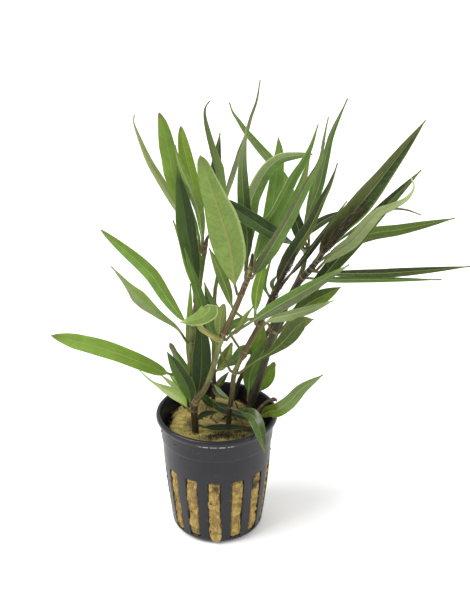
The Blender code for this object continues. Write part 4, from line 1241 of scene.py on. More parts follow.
class HYGROPHILA_OT_stems(Operator):
    """Makes the six stems"""

    bl_idname = "hygrophila.stems"
    bl_label = "Stems"

    def execute(self, context):
        stems = context.scene.hygrophila_stems
        for name, plan in STEMS.items():
            heights = [form["height"] for form in (*LEAVES[name], *SMALL_LEAVES[name])]
            nodes = [height for height in heights if height > LOWEST_NODE]
            made = Stem(**plan).mesh(nodes, STEM_LOOKS[name], stems)
            new_piece(f"{name}_stalk", made, stem_skin(f"{name} skin", stems), [name])
        source = np.random.default_rng(BRISTLE_SEED)
        skin = fibre_skin("dry bristles", tinted(stems.foot, 0.5), stems.bark)
        places = np.linspace(0, 1, 60)
        for name, line, spread, count in BRISTLES:
            curve = smooth_curve(line, len(places))
            at = source.uniform(0.0, 1.0, count) ** 1.3
            starts = pick(curve, places, at) + source.normal(size=(count, 3)) * (spread, 0.25, spread)
            headings = pick(directions(curve), places, at) + source.normal(size=(count, 3)) * 0.16
            bends = source.normal(size=(count, 3)) * 0.08
            lengths = source.uniform(2.0, 7.0, count) * (1.1 - 0.6 * at)
            tones = source.uniform(size=count) ** 2
            made = fibres(starts, headings, bends, lengths, BRISTLE_RADIUS, tones, 4)
            new_piece(f"{name}_bristles", made, skin)
        return {"FINISHED"}


# Leaves


def leaf(
    height, *route, width, turn=0, twist=0, fold=12, stalk=0.10, swell=0.72, taper=0.85, blunt=0.0,
    profile=None,
):
    """A leaf's form: its height on the stem, then the points of its midrib up to the tip.

    The width is the greatest one. The turn of the blade is in degrees, and 180 shows its
    underside. The twist is what its turn gains up to the tip, and the fold is how far its halves
    rise. The stalk is a share of the length. A larger swell moves the widest place towards the
    tip, a smaller taper makes the outline fuller, and blunt is the least share of the width that
    is kept near the tip. A profile takes the place of swell and taper.
    """
    return {
        "height": height, "route": route, "width": width, "turn": turn, "twist": twist, "fold": fold,
        "stalk": stalk, "swell": swell, "taper": taper, "blunt": blunt, "profile": profile,
    }


# Outlines of leaves that are no plain lens: share of the blade's length and of its greatest width
BROAD = (
    (0, 0.05), (0.09, 0.47), (0.2, 0.8), (0.31, 0.96), (0.42, 1), (0.53, 0.92), (0.63, 0.76), (0.74, 0.63),
    (0.85, 0.49), (0.93, 0.35), (0.975, 0.2), (1, 0),
)
BLUNT_TIP = (
    (0, 0.1), (0.1, 0.68), (0.29, 0.96), (0.51, 1), (0.68, 0.96), (0.83, 0.88), (0.92, 0.58), (0.97, 0.3),
    (1, 0),
)
KINKED = (
    (0, 0.15), (0.2, 0.4), (0.35, 0.62), (0.5, 0.95), (0.6, 1), (0.7, 0.62), (0.8, 0.35), (0.9, 0.2), (1, 0),
)
TAILED = (
    (0, 0.2), (0.1, 0.7), (0.25, 1), (0.4, 0.95), (0.55, 0.6), (0.66, 0.35), (0.8, 0.28), (0.9, 0.2), (1, 0),
)
CUT_BASE = ((0, 0.3), (0.04, 0.8), (0.14, 1), (0.3, 0.92), (0.5, 0.75), (0.7, 0.5), (0.88, 0.22), (1, 0))
WIDE_TIP = ((0, 0.15), (0.2, 0.36), (0.35, 0.62), (0.5, 0.9), (0.65, 1), (0.8, 0.85), (0.92, 0.5), (1, 0))

# The large leaves of each stem, from the lowest up
LEAVES = {
    "stem_front": (
        leaf(53, (-4.5, -8, 52), (5, -8, 52), (15.5, -8, 51.8), width=4.6, turn=-60, fold=6, stalk=0.08),
        leaf(61, (-14.5, -11.5, 67.9), (-21, -14, 74.3), (-26.1, -17, 79.4), (-30.7, -20, 86),
             width=4.6, turn=10, twist=-70, fold=5, profile=TAILED),
        leaf(64, (-11.4, -13.5, 74), (-15.4, -19, 86.5), (-19, -24, 96.5),
             width=6.8, turn=-10, fold=14, stalk=0.08, swell=0.72, taper=0.75, blunt=0.12),
        leaf(65, (-7, -7.5, 72.5), (-6, -6, 88), (-6.5, -4, 106), width=8, turn=8, stalk=0.06),
        leaf(96, (1.5, -11, 99.5), (2, -10, 105), (3.5, -9, 110.5),
             width=5.4, turn=-25, fold=8, swell=0.95, taper=0.55, blunt=0.4),
        leaf(96.5, (-2.9, -15.4, 100.4), (-6, -16.2, 103.6), (-5.8, -16.6, 107.7), (-4.3, -16.9, 111.4),
             (-2.5, -17.6, 113.1), (-2.2, -18.6, 112.4), (-3.7, -19.2, 110.9), (-5.6, -19.7, 109.7),
             (-8, -20.2, 108.9), (-10.9, -20.6, 108.4), (-14.1, -21, 108.2),
             width=7.6, fold=4, stalk=0.57, profile=CUT_BASE),
        leaf(97.5, (6.5, -15.5, 100), (20.5, -22.5, 113.5), (36, -30.5, 127.5), (50, -37, 140),
             width=5.6, stalk=0.24),
        leaf(118, (7.5, -19.5, 125), (6, -25.5, 141), (3, -30.5, 154.5), (-1, -37.5, 170.5),
             (-4.5, -42, 184), width=13, turn=180, fold=6, stalk=0.08, profile=BROAD),
        leaf(122, (18.2, -13, 139.9), (21.1, -9.5, 147.1), (22.4, -6, 152.6), (23.5, -3, 158.4),
             (24.1, -1, 164.5), (24.8, 1, 170.6), (24.5, 2.5, 176.2), width=6.4, turn=10, fold=10,
             swell=1.25, taper=0.7),
        leaf(124, (13, -11, 135), (14, -7.5, 153.2), (16.3, -5.5, 158.8), (19.7, -4.8, 164.9),
             (22.7, -4.5, 168.2), (26.1, -4.8, 170.5), (31.1, -5.4, 171.6), (37.4, -6, 172.4), width=6,
             fold=8, stalk=0.20, taper=0.6),
        leaf(128, (12.5, -16.5, 141), (11, -17, 157.5), (10.5, -17.5, 172.5), (12, -19, 187.5),
             width=5.4, turn=15, twist=10, stalk=0.06),
        leaf(126.5, (18.5, -22.5, 135), (28.5, -28, 156.5), (33.5, -30, 168.5), (38, -32.5, 179),
             (39, -34.5, 187), (40.5, -36, 196),
             width=6.4, turn=30, twist=30, fold=18, stalk=0.05, swell=0.55),
        leaf(129, (15.9, -18, 136.5), (19.9, -18.9, 149.5), (23, -19.1, 154.9), (25.8, -19.4, 160.8),
             (28.8, -19.8, 167.6), (32.4, -20, 173.7), (35.4, -20, 180.1), (38.1, -20, 188.5), width=6,
             turn=40, fold=25, stalk=0.08),
        leaf(130.5, (19.5, -15, 137.5), (25.5, -13, 147), (32, -9, 157.5), (36.5, -5, 171.5),
             width=5.6, turn=20),
    ),
    "stem_middle": (
        leaf(59, (12, -10, 60.5), (15, -15, 62), (17, -19, 60.5), (18.5, -22, 56.5), (19.5, -23.5, 52.5),
             (20, -24, 49.5), width=5.6, fold=10, stalk=0.12, swell=0.8),
        leaf(75.5, (2, -1, 83.5), (-1.5, 0, 92), (-6.5, 0, 108), (-12.5, 0, 131),
             width=5.2, turn=20, fold=10, stalk=0.14),
        leaf(76.5, (15.5, -8.5, 83.5), (22, -14, 91), (27.1, -19.5, 99), (33.2, -26.5, 110.5),
             (37.8, -31, 114.5), width=6.8, fold=14, stalk=0.22, profile=WIDE_TIP),
        leaf(86, (5.5, -5.5, 95.5), (0.5, -6.5, 104.5), (-2.5, -7, 111), (-4.5, -7, 119),
             width=4.6, turn=15, fold=10, stalk=0.35),
        leaf(98.5, (22, -8.5, 103), (30, -15, 108.5), (37.5, -21, 114), (45.5, -28, 121),
             width=4.8, turn=150, fold=10),
        leaf(98.5, (16, -7, 107.5), (17, -9.5, 119), (20.5, -11, 134),
             width=4.6, turn=180, fold=8, stalk=0.20),
        leaf(114.5, (26.9, -7.5, 124.5), (31.5, -10.8, 134.9), (36.5, -13, 144.7), (39.2, -14.2, 151.6),
             (41.3, -16, 157.9), (43.3, -18.5, 164), (44.6, -21, 169.8), (45.5, -23, 174.7), width=6.2,
             turn=-30, fold=30, stalk=0.08, swell=0.5),
        leaf(115, (30, -2.5, 120.5), (36, 1, 127), (53, 12, 146.5), width=3.6, turn=40, fold=20, stalk=0.14),
    ),
    "stem_left": (
        leaf(64.5, (-17.5, 9.5, 67.3), (-23, 5, 71.6), (-32.5, -1.5, 80.2), (-47.6, -10.5, 91.5),
             (-65.2, -20, 101.8), width=7.2, twist=15, fold=14, stalk=0.14, profile=BLUNT_TIP),
        leaf(82.5, (-16.7, 9.5, 90.2), (-23.9, 4, 99.3), (-30.2, -0.5, 108), (-41, -11, 127.8),
             width=6.4, fold=20, profile=KINKED),
        leaf(90.5, (-14.7, 13.5, 92.7), (-20.9, 18, 99.8), (-28.8, 23, 109.9), (-49.7, 33, 125.5),
             width=6, fold=8, stalk=0.04, swell=0.85, taper=0.6),
        leaf(102, (-9, 8, 115.5), (-11.2, 4.5, 134.3), (-12.6, 1, 149), (-14, -1, 159.3),
             (-14.7, -2, 166.3), width=8.4, turn=-5, fold=18, swell=0.9),
        leaf(123.5, (-9.6, 16.5, 127.9), (-14.4, 21.5, 136.4), (-18.7, 24.5, 142.5), (-23.3, 27.5, 149.7),
             (-27.5, 30.5, 156), (-30.4, 33.5, 161.7), (-32.7, 36, 167), (-34.3, 38, 171.5),
             (-34, 39, 174.6), width=4, turn=25, fold=20),
        leaf(123.5, (-7.5, 12, 133), (-12, 8.5, 145.5), (-16.9, 5.5, 159.9), (-17.8, 4.8, 167.7),
             (-18.6, 4.2, 172.5), (-19.3, 3.4, 177.2), (-20.1, 2.6, 181.9), (-21.3, 2, 186.3), width=7,
             turn=-10, fold=8, stalk=0.12, swell=1.35, taper=0.55),
        leaf(124.5, (-5.8, 8.5, 134.9), (-6.7, 5, 144.5), (-9.1, 1, 153.9), (-11.4, -3, 161.8),
             (-13.7, -7, 170), (-14.9, -10, 177.4), width=4.6, turn=150, fold=15),
        leaf(126.5, (-5.5, 15.5, 133.5), (-7.9, 18.8, 146.3), (-10.2, 21.5, 153.5), (-12.4, 24.5, 161.1),
             (-13.7, 27.5, 167.2), (-14.4, 30, 172.3), width=6, fold=8, stalk=0.12, swell=1.3,
             taper=0.55),
    ),
    "stem_back": (
        leaf(51.2, (0.5, 9, 52.5), (5, 4, 53), (10, 0, 53), (14.5, -3, 52.5),
             width=5.2, turn=-30, fold=8, stalk=0.08),
        leaf(122, (1, 20, 137.5), (0, 28, 154), (1.5, 36, 167.5), width=6.2, fold=10, stalk=0.12),
        leaf(123, (2.4, 14, 139.5), (1.2, 10.5, 159.4), (-0.2, 9.5, 165.2), (-1.5, 9, 170),
             (-2.9, 8.6, 175.6), (-3.9, 8.2, 181.1), (-4.1, 8, 185), (-3.4, 8, 187.4), (-2, 8, 189.2),
             width=5.8, turn=45, fold=20),
        leaf(124, (3.8, 19.5, 133.5), (3, 21.8, 141.9), (4.5, 24.5, 147.6), (6.1, 27, 152),
             (8, 30, 157.3), (9.6, 32.5, 161.3), (11.6, 35, 165.7), (14, 38, 173.5), (16.6, 40.5, 180.2),
             (18.2, 42, 188.5), width=4.4, turn=60, fold=20),
    ),
    "stem_rear": (
        leaf(71, (17, 17.5, 76.5), (18.5, 16, 82), (20, 15, 89.5), width=6.6, fold=10),
        leaf(122, (35.5, 8, 126.7), (33.3, 2, 130.8), (30.1, -5, 135.3), (26.3, -13.5, 140.7),
             (22.2, -21.2, 146.2), (18.7, -22.8, 148.9), (14.1, -22.6, 152), (4.8, -22, 158.2),
             (-0.5, -21, 161.2), width=6.4, turn=10, fold=14, stalk=0.15, swell=2.0, taper=0.8),
        leaf(122.5, (35, 16.2, 128.8), (32.5, 15, 137.3), (29, 13.5, 148.3), width=5.6, fold=14),
        leaf(123, (34.1, 19, 134.6), (30.9, 22, 145.1), (27.6, 24, 152.1), (24.9, 24.8, 155.3),
             (22.3, 25.5, 159.5), (19.1, 26.3, 163), (15.3, 27, 167.4), (12, 28, 171.2),
             (9.3, 28.8, 175), (6.8, 29.5, 178.5), (5.5, 30, 182.3), width=5, turn=-30, fold=18),
        leaf(123.5, (37.4, 24, 125.4), (39.4, 27, 127.2), (43.6, 31, 129.2), (47.6, 34, 130.4),
             (51.6, 37, 131.1), (55.4, 40, 131.8), width=4.2, turn=-20, stalk=0.20),
        leaf(125.5, (37, 12.5, 138), (41.5, 13, 152), (44, 13.5, 164.5), (46, 14.5, 173.5),
             (52, 16, 188), width=3.7, turn=15, fold=14),
    ),
    "stem_right": (
        leaf(51.2, (18.6, 1, 52.5), (22.1, -5, 58), (25.7, -9.5, 61.5), (30.2, -11.5, 66.5), (35.2, -15, 75),
             (43.2, -19, 83.5), width=6.4, twist=10, swell=0.9),
        leaf(53.5, (14.5, 13.5, 66.5), (18.5, 13, 75), (27.5, 10, 91), width=7),
        leaf(90.5, (28.9, 7, 96), (36, 6, 105.1), (44.9, 4.8, 117.7), (65.9, 6.5, 144), (81.9, 10, 160.5),
             width=6.6, stalk=0.14, swell=0.9),
        leaf(90, (21.5, 4, 95), (11, 3, 98.5), (7, 3, 102.5), (4.5, 1, 112), (1.5, -2, 122), (-2.5, -5, 133),
             width=4.6, turn=180, stalk=0.42, swell=0.8),
        leaf(91, (31, 1.5, 98.7), (36.5, -2.5, 106.7), (49.5, -12, 119.2), width=6.8, fold=10, swell=1.3),
        leaf(120, (45, 11, 115.2), (56, 16.5, 112.3), (73.5, 22, 110.2), (110, 33, 108.3), width=4.2,
             turn=15, stalk=0.14),
        leaf(122, (46, -2.5, 128.5), (54, -5.5, 136.5), (63, -9.5, 150), (67.8, -11, 153),
             (73.5, -12, 156.8), (75.8, -13, 161.7), (74.3, -13.5, 165.7),
             width=6.4, turn=150, fold=15, stalk=0.08, swell=0.62, taper=1.15),
        leaf(124.5, (50.5, 9, 127.3), (63.5, 17, 130), (76.5, 21.5, 130.2), (100.5, 29, 132.3),
             width=5.6, turn=10, fold=15),
        leaf(126, (43.3, -4.5, 133.7), (49.4, -8.5, 145), (53.9, -12, 151.8), (57.7, -15.5, 158.7),
             (61.7, -19, 166.2), (75.6, -30, 193.1), width=9.6, fold=32, stalk=0.06, swell=0.68),
        leaf(129, (52, 6.5, 133.5), (63, 13.5, 139), (71, 17.5, 141), (78, 19.5, 140), (85, 22, 136.5),
             width=3.6, turn=70, fold=15),
    ),
}

# Small leaves that are one body with their stem
SMALL_LEAVES = {
    "stem_front": (
        leaf(55, (-5.5, -5.5, 57), (0.5, -4.5, 57.5), width=2.6, fold=8),
        leaf(66, (-5.5, -7, 66), (-1.5, -4, 59), width=3.4),
        leaf(99.5, (8, -13, 100), (12, -12, 106.5), (15, -11.5, 110.5), width=2.4, fold=8),
    ),
    "stem_middle": (
        leaf(102, (11.5, -4, 100.5), (6.5, -8, 100), (4.5, -9, 96), width=3.6, fold=8, stalk=0.30),
        leaf(111, (19.5, -6, 117.5), (22, -7, 129), width=1.8, fold=8),
        leaf(114, (22.5, -6.5, 118.5), (24.5, -8, 122.5), width=1.8, fold=8),
    ),
    "stem_left": (
        leaf(52, (-18, 14.5, 58), (-25, 15, 65), width=2.6, turn=30, fold=8),
        leaf(53.5, (-15.5, 15.5, 57), (-21.5, 18, 64), width=2.8, fold=8),
        leaf(60.5, (-13.5, 8.5, 70), (-17, 5, 79.5), (-19.5, 3, 86.5),
             width=3.8, fold=10, swell=0.9, blunt=0.6),
        leaf(65.5, (-12, 14.5, 76), (-11.5, 15.5, 93.5), (-11, 16, 108), width=3.4, fold=8),
        leaf(104, (-12, 16, 116.5), (-14.5, 18, 126), (-18, 20, 135), width=3.2, fold=8),
        leaf(109.5, (-6.5, 10, 117), (-6.5, 9, 125.5), width=2.4, fold=8),
    ),
    "stem_back": (
        leaf(56.5, (1, 16, 60), (5, 15, 66), width=3, fold=8),
        leaf(59, (0.5, 12, 57.5), (5, 8, 57), width=3.6, fold=8),
        leaf(65, (1.8, 14, 69.5), (6.5, 12, 82), width=5.2, fold=8, swell=0.95, blunt=0.35),
    ),
    "stem_rear": (
        leaf(71.5, (12, 16, 76), (7.5, 11, 74), (1, 8, 72.5), width=5.4),
        leaf(126.5, (38, 19, 135.5), (41, 21, 154.5), (44, 22, 168), width=3.2, fold=8),
    ),
    "stem_right": (
        leaf(55.5, (16.6, 13, 58.3), (21.3, 13, 64.7), (24.9, 13, 72),
             width=7.4, fold=10, swell=0.95, blunt=0.35),
        leaf(117, (47.5, 17, 109.3), (64, 25, 105.7), (98, 34, 101.5), width=2.8, turn=10, fold=10),
    ),
}


def look(left, right, **more):
    """A leaf that shows its upper side: the greens of its left and right halves, by colour names.

    A number after a name makes the colour lighter or darker, and the two halves' greens with these numbers
    paint the light and shade on the leaf as well as its colour.
    """
    return {"left": left, "right": right, **more}


def below(left, right, **more):
    """A leaf that shows its underside: the greens there of the same two halves."""
    return {"under": left, "under_right": right, **more}


# The look of each large leaf, in the order of LEAVES; the lightness of each half's green holds painted light
# and shade.
LOOKS = {
    "stem_front": (
        look("deep 0.38", "deep 0.4", tip="deep 0.5", rib="deep", stalk_colour="deep", streaks=0.08,
             net=0.0),
        look("pale 0.95", "under 1.1", tip="pale", base="fresh", base_length=0.4),
        look("mid 0.75", "mid 0.33", tip="mid 0.7", rib="mid"),
        look("mid 0.34", "mid 0.35", rib="under 0.8", net=0.0),
        look("olive 1.2", "olive", tip="olive"),
        look("under 0.75", "under 0.9", tip="pale", stalk_colour="stalk 1.9", groove="stalk",
             edge_left=0.5),
        look("mid 0.9", "grey 0.52", tip="grey"),
        below("under 0.84", "under 0.92", under_rib="stalk 1.6", rib_width=0.4, net=0.4, edge="pale 0.95",
              edge_left=0.5),
        look("mid 1.2", "mid 1.15"),
        look("grey 0.85", "mid 0.8", edge="pale", edge_left=0.7),
        look("mid 0.8", "mid 0.52", tip="grey", tip_length=0.5),
        look("olive 0.72", "mid 0.95", tip="grey 0.8", base="deep 0.7", base_length=0.3),
        look("mid", "mid", edge="pale 0.9", edge_left=0.8),
        look("mid 1.05", "olive 1.2"),
    ),
    "stem_middle": (
        look("fresh 0.28", "mid 0.64", base="deep 0.5", base_length=0.5, rough=0.25, gloss=0.35,
             rib_strength=0.2),
        look("mid 1.05", "mid 0.95"),
        look("lime 0.42", "lime 0.42"),
        look("deep 1.15", "mid 0.8"),
        below("grey", "grey 0.9", tip="pale"),
        below("fresh 0.8", "fresh 0.78", net=0.3),
        look("deep 0.85", "olive 0.75", base="brown 0.5", base_length=0.35),
        look("olive 0.42", "deep 0.6", base="brown 0.6", base_length=0.45),
    ),
    "stem_left": (
        look("fresh 0.95", "fresh 0.9", rib_strength=0.5),
        look("grey 1.15", "under", tip="grey"),
        look("mid 1.25", "fresh 0.7"),
        look("mid 0.7", "mid 0.36", rib="mid", net=0.0),
        look("pale 0.85", "olive 1.22", tip="grey 0.9", tip_length=0.5),
        look("fresh 0.8", "fresh 0.72", tip="brown", tip_length=0.04, net=0.5),
        below("under 0.88", "under 0.87", net=0.6),
        look("lime 0.82", "lime 0.9", tip="brown", tip_length=0.05, net=0.5),
    ),
    "stem_back": (
        look("deep 0.43", "deep 0.32", rib="mid", streaks=0.08, net=0.0),
        look("fresh 0.26", "deep 0.5", net=0.0),
        look("under 0.55", "under 0.77", tip="grey 0.5", tip_length=0.45),
        look("olive 0.62", "grey 0.9", tip="brown", tip_length=0.5),
    ),
    "stem_rear": (
        look("fresh 0.85", "olive 1.15", net=0.3),
        look("deep 1.4", "deep 0.8", rib="grey 0.9"),
        look("deep", "deep 0.9"),
        look("grey 0.8", "mid 1.1", edge="pale", edge_left=0.5),
        look("mid 0.28", "deep 0.95"),
        look("grey 0.62", "mid 0.8"),
    ),
    "stem_right": (
        look("lime 0.66", "fresh 0.64", rough=0.2, gloss=0.5),
        look("mid 0.85", "mid 0.9", net=0.3),
        look("mid 0.26", "mid 0.54", base="brown 0.3", base_length=0.4),
        below("under 0.78", "under 0.8"),
        look("lime 0.4", "lime 0.75", base="deep 0.4", base_length=0.45),
        look("lime 0.25", "lime 0.4"),
        below("pale 0.75", "pale 0.64", under_rib="grey 0.7", tip="pale 1.1", tip_length=0.3),
        look("fresh 0.5", "lime 0.5"),
        look("olive 0.78", "deep 0.85", base="brown 0.4", base_length=0.4, edge="olive 1.4",
             edge_right=0.5),
        look("olive 0.4", "mid 0.45", tip="brown 1.2", tip_length=0.4),
    ),
}

# The same for the small leaves of each stem
SHOOT_LOOKS = {
    "stem_front": (
        look("deep 0.6", "deep 0.8", rib="deep", streaks=0.08, net=0.0),
        look("mid 0.36", "deep 0.75", rib="mid", streaks=0.08, net=0.0),
        look("olive 1.4", "mid 1.1"),
    ),
    "stem_middle": (
        look("mid", "mid 0.9"),
        look("fresh 0.75", "fresh 0.6"),
        look("olive", "mid 0.7"),
    ),
    "stem_left": (
        look("pale 1.1", "grey 1.5"),
        look("fresh", "grey 1.3"),
        look("grey", "mid", tip="brown 1.4", tip_length=0.25, tip_strength=0.95),
        look("under", "fresh 0.8"),
        look("fresh 0.8", "fresh 0.7"),
        look("olive 1.2", "mid"),
    ),
    "stem_back": (
        look("grey 0.6", "deep 1.1"),
        look("grey 0.7", "deep 0.5"),
        look("olive", "olive 1.5", net=0.3),
    ),
    "stem_rear": (
        look("mid 0.6", "mid 0.8"),
        look("mid", "mid"),
    ),
    "stem_right": (
        look("lime 0.8", "lime 0.9", net=0.3),
        look("mid 0.7", "mid"),
    ),
}


def shade(leaves, words):
    """Linear colour from a colour's name and the lightness that may follow it."""
    name, _, gain = words.partition(" ")
    return tinted(getattr(leaves, name), float(gain or 1.0) ** 1.6)


def look_of(leaves, given, form):
    """Every colour and number that a leaf's material needs, with the usual ones where none is given."""
    words = {
        "left": "mid", "right": "mid", "under": "under", "under_right": "under", "rib": "rib",
        "under_rib": "rib", "tip": "olive", "base": "olive", "stalk_colour": "stalk", "groove": "brown 0.6",
        "edge": "pale",
    }
    numbers = {
        "rib_width": 0.20, "rib_strength": 0.36, "veins": 0.06, "net": 0.10, "streaks": 0.22,
        "tip_length": 0.12, "tip_strength": 0.7, "base_length": 0.15, "base_strength": 0.75,
        "edge_left": 0.0, "edge_right": 0.0, "rough": 0.40, "gloss": 0.18,
    }
    whole = {**words, **numbers, **given}
    look = {key: shade(leaves, value) if key in words else value for key, value in whole.items()}
    for key in ("left", "right", "under"):
        look[f"{key}_dark"] = tinted(look[key], DARKER)
    look["stalk"] = form["stalk"]
    return look


def half_widths(form, shares):
    """Half the blade's width at each share of its length, never less than the stalk's."""
    u = np.clip((shares - form["stalk"]) / (1 - form["stalk"]), 0.0, 1.0)
    half = form["width"] / 2 * np.sin(math.pi * u ** form["swell"]).clip(0.0) ** form["taper"]
    if form["profile"]:
        curve = smooth_curve(form["profile"], CURVE_STEPS)
        half = form["width"] / 2 * np.interp(u, curve[:, 0], curve[:, 1].clip(0.0))
    if form["blunt"]:
        end = np.minimum((1 - u) / 0.06, 1.0) ** 0.5
        half = np.where(u > 0.5, np.maximum(half, form["width"] / 2 * form["blunt"] * end), half)
    return np.maximum(half, STALK_HALF_WIDTH * np.clip((1 - u) / 0.2, 0.6, 1.0))


def blade_stations(form, start, root, leaves):
    """Cross sections of a leaf from its root to its tip.

    Gives their shares of the leaf's length, that length, their middles, and the directions
    across the blade and out of its upper side.
    """
    main = smooth_curve((start, *form["route"]), CURVE_STEPS)
    length = np.linalg.norm(np.diff(main, axis=0), axis=1).sum()
    even = np.linspace(0.0, 1.0, max(int(length / (leaves.station_pitch / MM)), FEWEST_STATIONS))
    shares = np.unique(np.concatenate((even[even < 0.97], np.linspace(0.97, 0.9995, 6))))
    steps = np.linspace(0.0, 1.0, CURVE_STEPS)
    middles = pick(main, steps, shares)
    along = unit(pick(directions(main), steps, shares))
    # The stalk's root runs from inside the stem.
    lead = smooth_curve((root, 0.5 * (root + start) + 0.15 * (start - root), start, main[4]), 12)[:8]
    lead_shares = -np.linspace(np.linalg.norm(start - root), 0.15, len(lead)) / length
    middles = np.vstack((lead, middles))
    along = np.vstack((directions(np.vstack((lead, main[2])))[:-1], along))
    shares = np.concatenate((lead_shares, shares))
    turn = np.radians(form["turn"] + form["twist"] * np.clip(shares, 0, 1))[:, None]
    face = unit(FACING - along * (along @ FACING)[:, None])
    face = face * np.cos(turn) + np.cross(along, face) * np.sin(turn)
    return shares, length, middles, np.cross(along, face), face


def leaf_mesh(form, start, root, leaves, seed, small=False):
    """A thin closed blade with a keel under its midrib, swellings between its veins and a wavy margin."""
    shares, length, middles, across, face = blade_stations(form, start, root, leaves)
    source = np.random.default_rng(seed)
    phases = source.uniform(0, 2 * math.pi, 6)
    half = half_widths(form, np.clip(shares, 0, 1))[:, None]
    shares = shares[:, None]
    # blade is 0 on the stalk and 1 beyond it, and grown is 0 where the blade is narrow as well.
    blade = smooth_step(shares, form["stalk"] * 0.75, form["stalk"] * 1.35 + 0.03)
    grown = np.clip((half - 0.5) / 2.5, 0.0, 1.0) * blade
    run = np.clip(shares, 0, None) * length
    root_swell = 1 + 0.35 * smooth_step(shares, 0.0, -0.03)
    half = half * root_swell

    # Every section goes over the upper side from the left margin and back under it.
    span = np.concatenate((BLADE_COLUMNS, BLADE_COLUMNS[-2:0:-1]))[None, :]
    is_top = np.arange(span.size)[None, :] < BLADE_COLUMNS.size
    side = is_top.astype(float)
    side[0, (0, BLADE_COLUMNS.size - 1)] = 0.5
    off = np.abs(span)
    sway = np.where(span < 0, np.sin(run / 5.3 + phases[0]), np.sin(run / 6.1 + phases[1]))
    x = span * half * (1 + 0.045 * grown * sway)

    lift = math.radians(form["fold"])
    soft = 0.10 * half
    raised = (np.sqrt(x * x + soft * soft) - soft) * math.sin(lift) * blade
    wave = np.where(
        span < 0, np.sin(run / 2.1 + phases[2]) + 0.5 * np.sin(run / 0.9 + phases[3]),
        np.sin(run / 2.4 + phases[4]) + 0.5 * np.sin(run / 1.0 + phases[5]),
    )
    raised = raised + 0.045 * half * grown * wave * off**2
    raised = raised - 0.05 * half * grown * off**3 * source.uniform(-1.0, 1.6)
    slant = run - VEIN_SLANT * np.abs(x)
    turn = slant / (leaves.vein_pitch / MM) + np.where(span > 0, VEIN_STAGGER, 0.0)
    quilt = np.clip(1 - np.abs(turn % 1.0 - 0.5) / 0.16, 0, 1)
    raised = raised - leaves.quilting / MM * grown * quilt * (1 - off**4) * smooth_step(off, 0.05, 0.2)

    stalk_half, blade_half = (0.35, 0.12) if small else (0.5, leaves.thickness / MM)
    body = (1 - blade) * stalk_half + blade * blade_half + 0.14 * smooth_step(shares, 0.75, 0.93)
    thick = body * root_swell * np.sqrt(np.clip(1 - span * span, 0, 1))
    keel = leaves.keel / MM * (1.05 - np.clip(shares, 0, 1)) * np.exp(-((x / 0.42) ** 2)) * blade
    groove = 0.10 * np.exp(-((x / 0.35) ** 2)) * blade
    rise = raised + np.where(is_top, thick - groove, -thick - keel)
    inward = x * (1 - (1 - math.cos(lift)) * blade)
    points = middles[:, None] + across[:, None] * inward[:, :, None] + face[:, None] * rise[:, :, None]

    rows, ring = x.shape
    faces = grid_faces(rows, ring).tolist()
    faces.append(list(range(ring)))
    faces.append(list(range((rows - 1) * ring, rows * ring)))
    place = np.stack(np.broadcast_arrays(x, run, np.clip(shares, 0, 1)), axis=-1)
    side, span = (np.broadcast_to(values, x.shape).reshape(-1) for values in (side, span))
    return points.reshape(-1, 3), faces, {"place": place.reshape(-1, 3), "side": side, "span": span}


def grown_leaves(forms, looks, leaves, seed, small=False):
    """The leaves of a table one by one: stem, number, form, look, seed and mesh."""
    reach, root_reach = (0.4, 0.1) if small else (None, 0.3)
    for name, plan in STEMS.items():
        stem = Stem(**plan)
        for number, (form, given) in enumerate(zip(forms[name], looks[name], strict=True), 1):
            seed += 1
            start = stem.beside(form["height"], form["route"][0], reach)
            root = stem.beside(form["height"], form["route"][0], root_reach)
            made = leaf_mesh(form, start, root, leaves, seed, small)
            yield name, number, form, look_of(leaves, given, form), seed, made


class HYGROPHILA_OT_leaves(Operator):
    """Makes the large leaves"""

    bl_idname = "hygrophila.leaves"
    bl_label = "Leaves"

    def execute(self, context):
        leaves = context.scene.hygrophila_leaves
        for stem, number, form, look, seed, made in grown_leaves(LEAVES, LOOKS, leaves, LEAF_SEED):
            node = f"leaf_{stem.removeprefix('stem_')}_{number}"
            skin = leaf_skin(f"{node} skin", leaves, look, seed)
            new_piece(f"{node}_blade", made, skin, [node], crease=75.0)
        return {"FINISHED"}


class HYGROPHILA_OT_shoots(Operator):
    """Makes the small leaves that grow straight from the stems"""

    bl_idname = "hygrophila.shoots"
    bl_label = "Small leaves"

    def execute(self, context):
        leaves = context.scene.hygrophila_leaves
        small = grown_leaves(SMALL_LEAVES, SHOOT_LOOKS, leaves, SHOOT_SEED, small=True)
        for stem, number, _, look, seed, made in small:
            skin = leaf_skin(f"{stem} shoot {number} skin", leaves, look, seed)
            new_piece(f"{stem}_shoot_{number}", made, skin, [stem], crease=75.0)
        return {"FINISHED"}


# Stage, with a camera that stands where the photo's seems to have stood

LIGHT_AIM = Vector((0.005, 0.0, 0.09))
SENSOR_WIDTH = 36.0
PHOTO_WIDTH = 596
FOCAL_PIXELS = 1200
CAMERA_AIM = Vector((7.75, 0.0, 108.8))
CAMERA_RISE = math.radians(25.4)
CAMERA_DISTANCE = 490.5


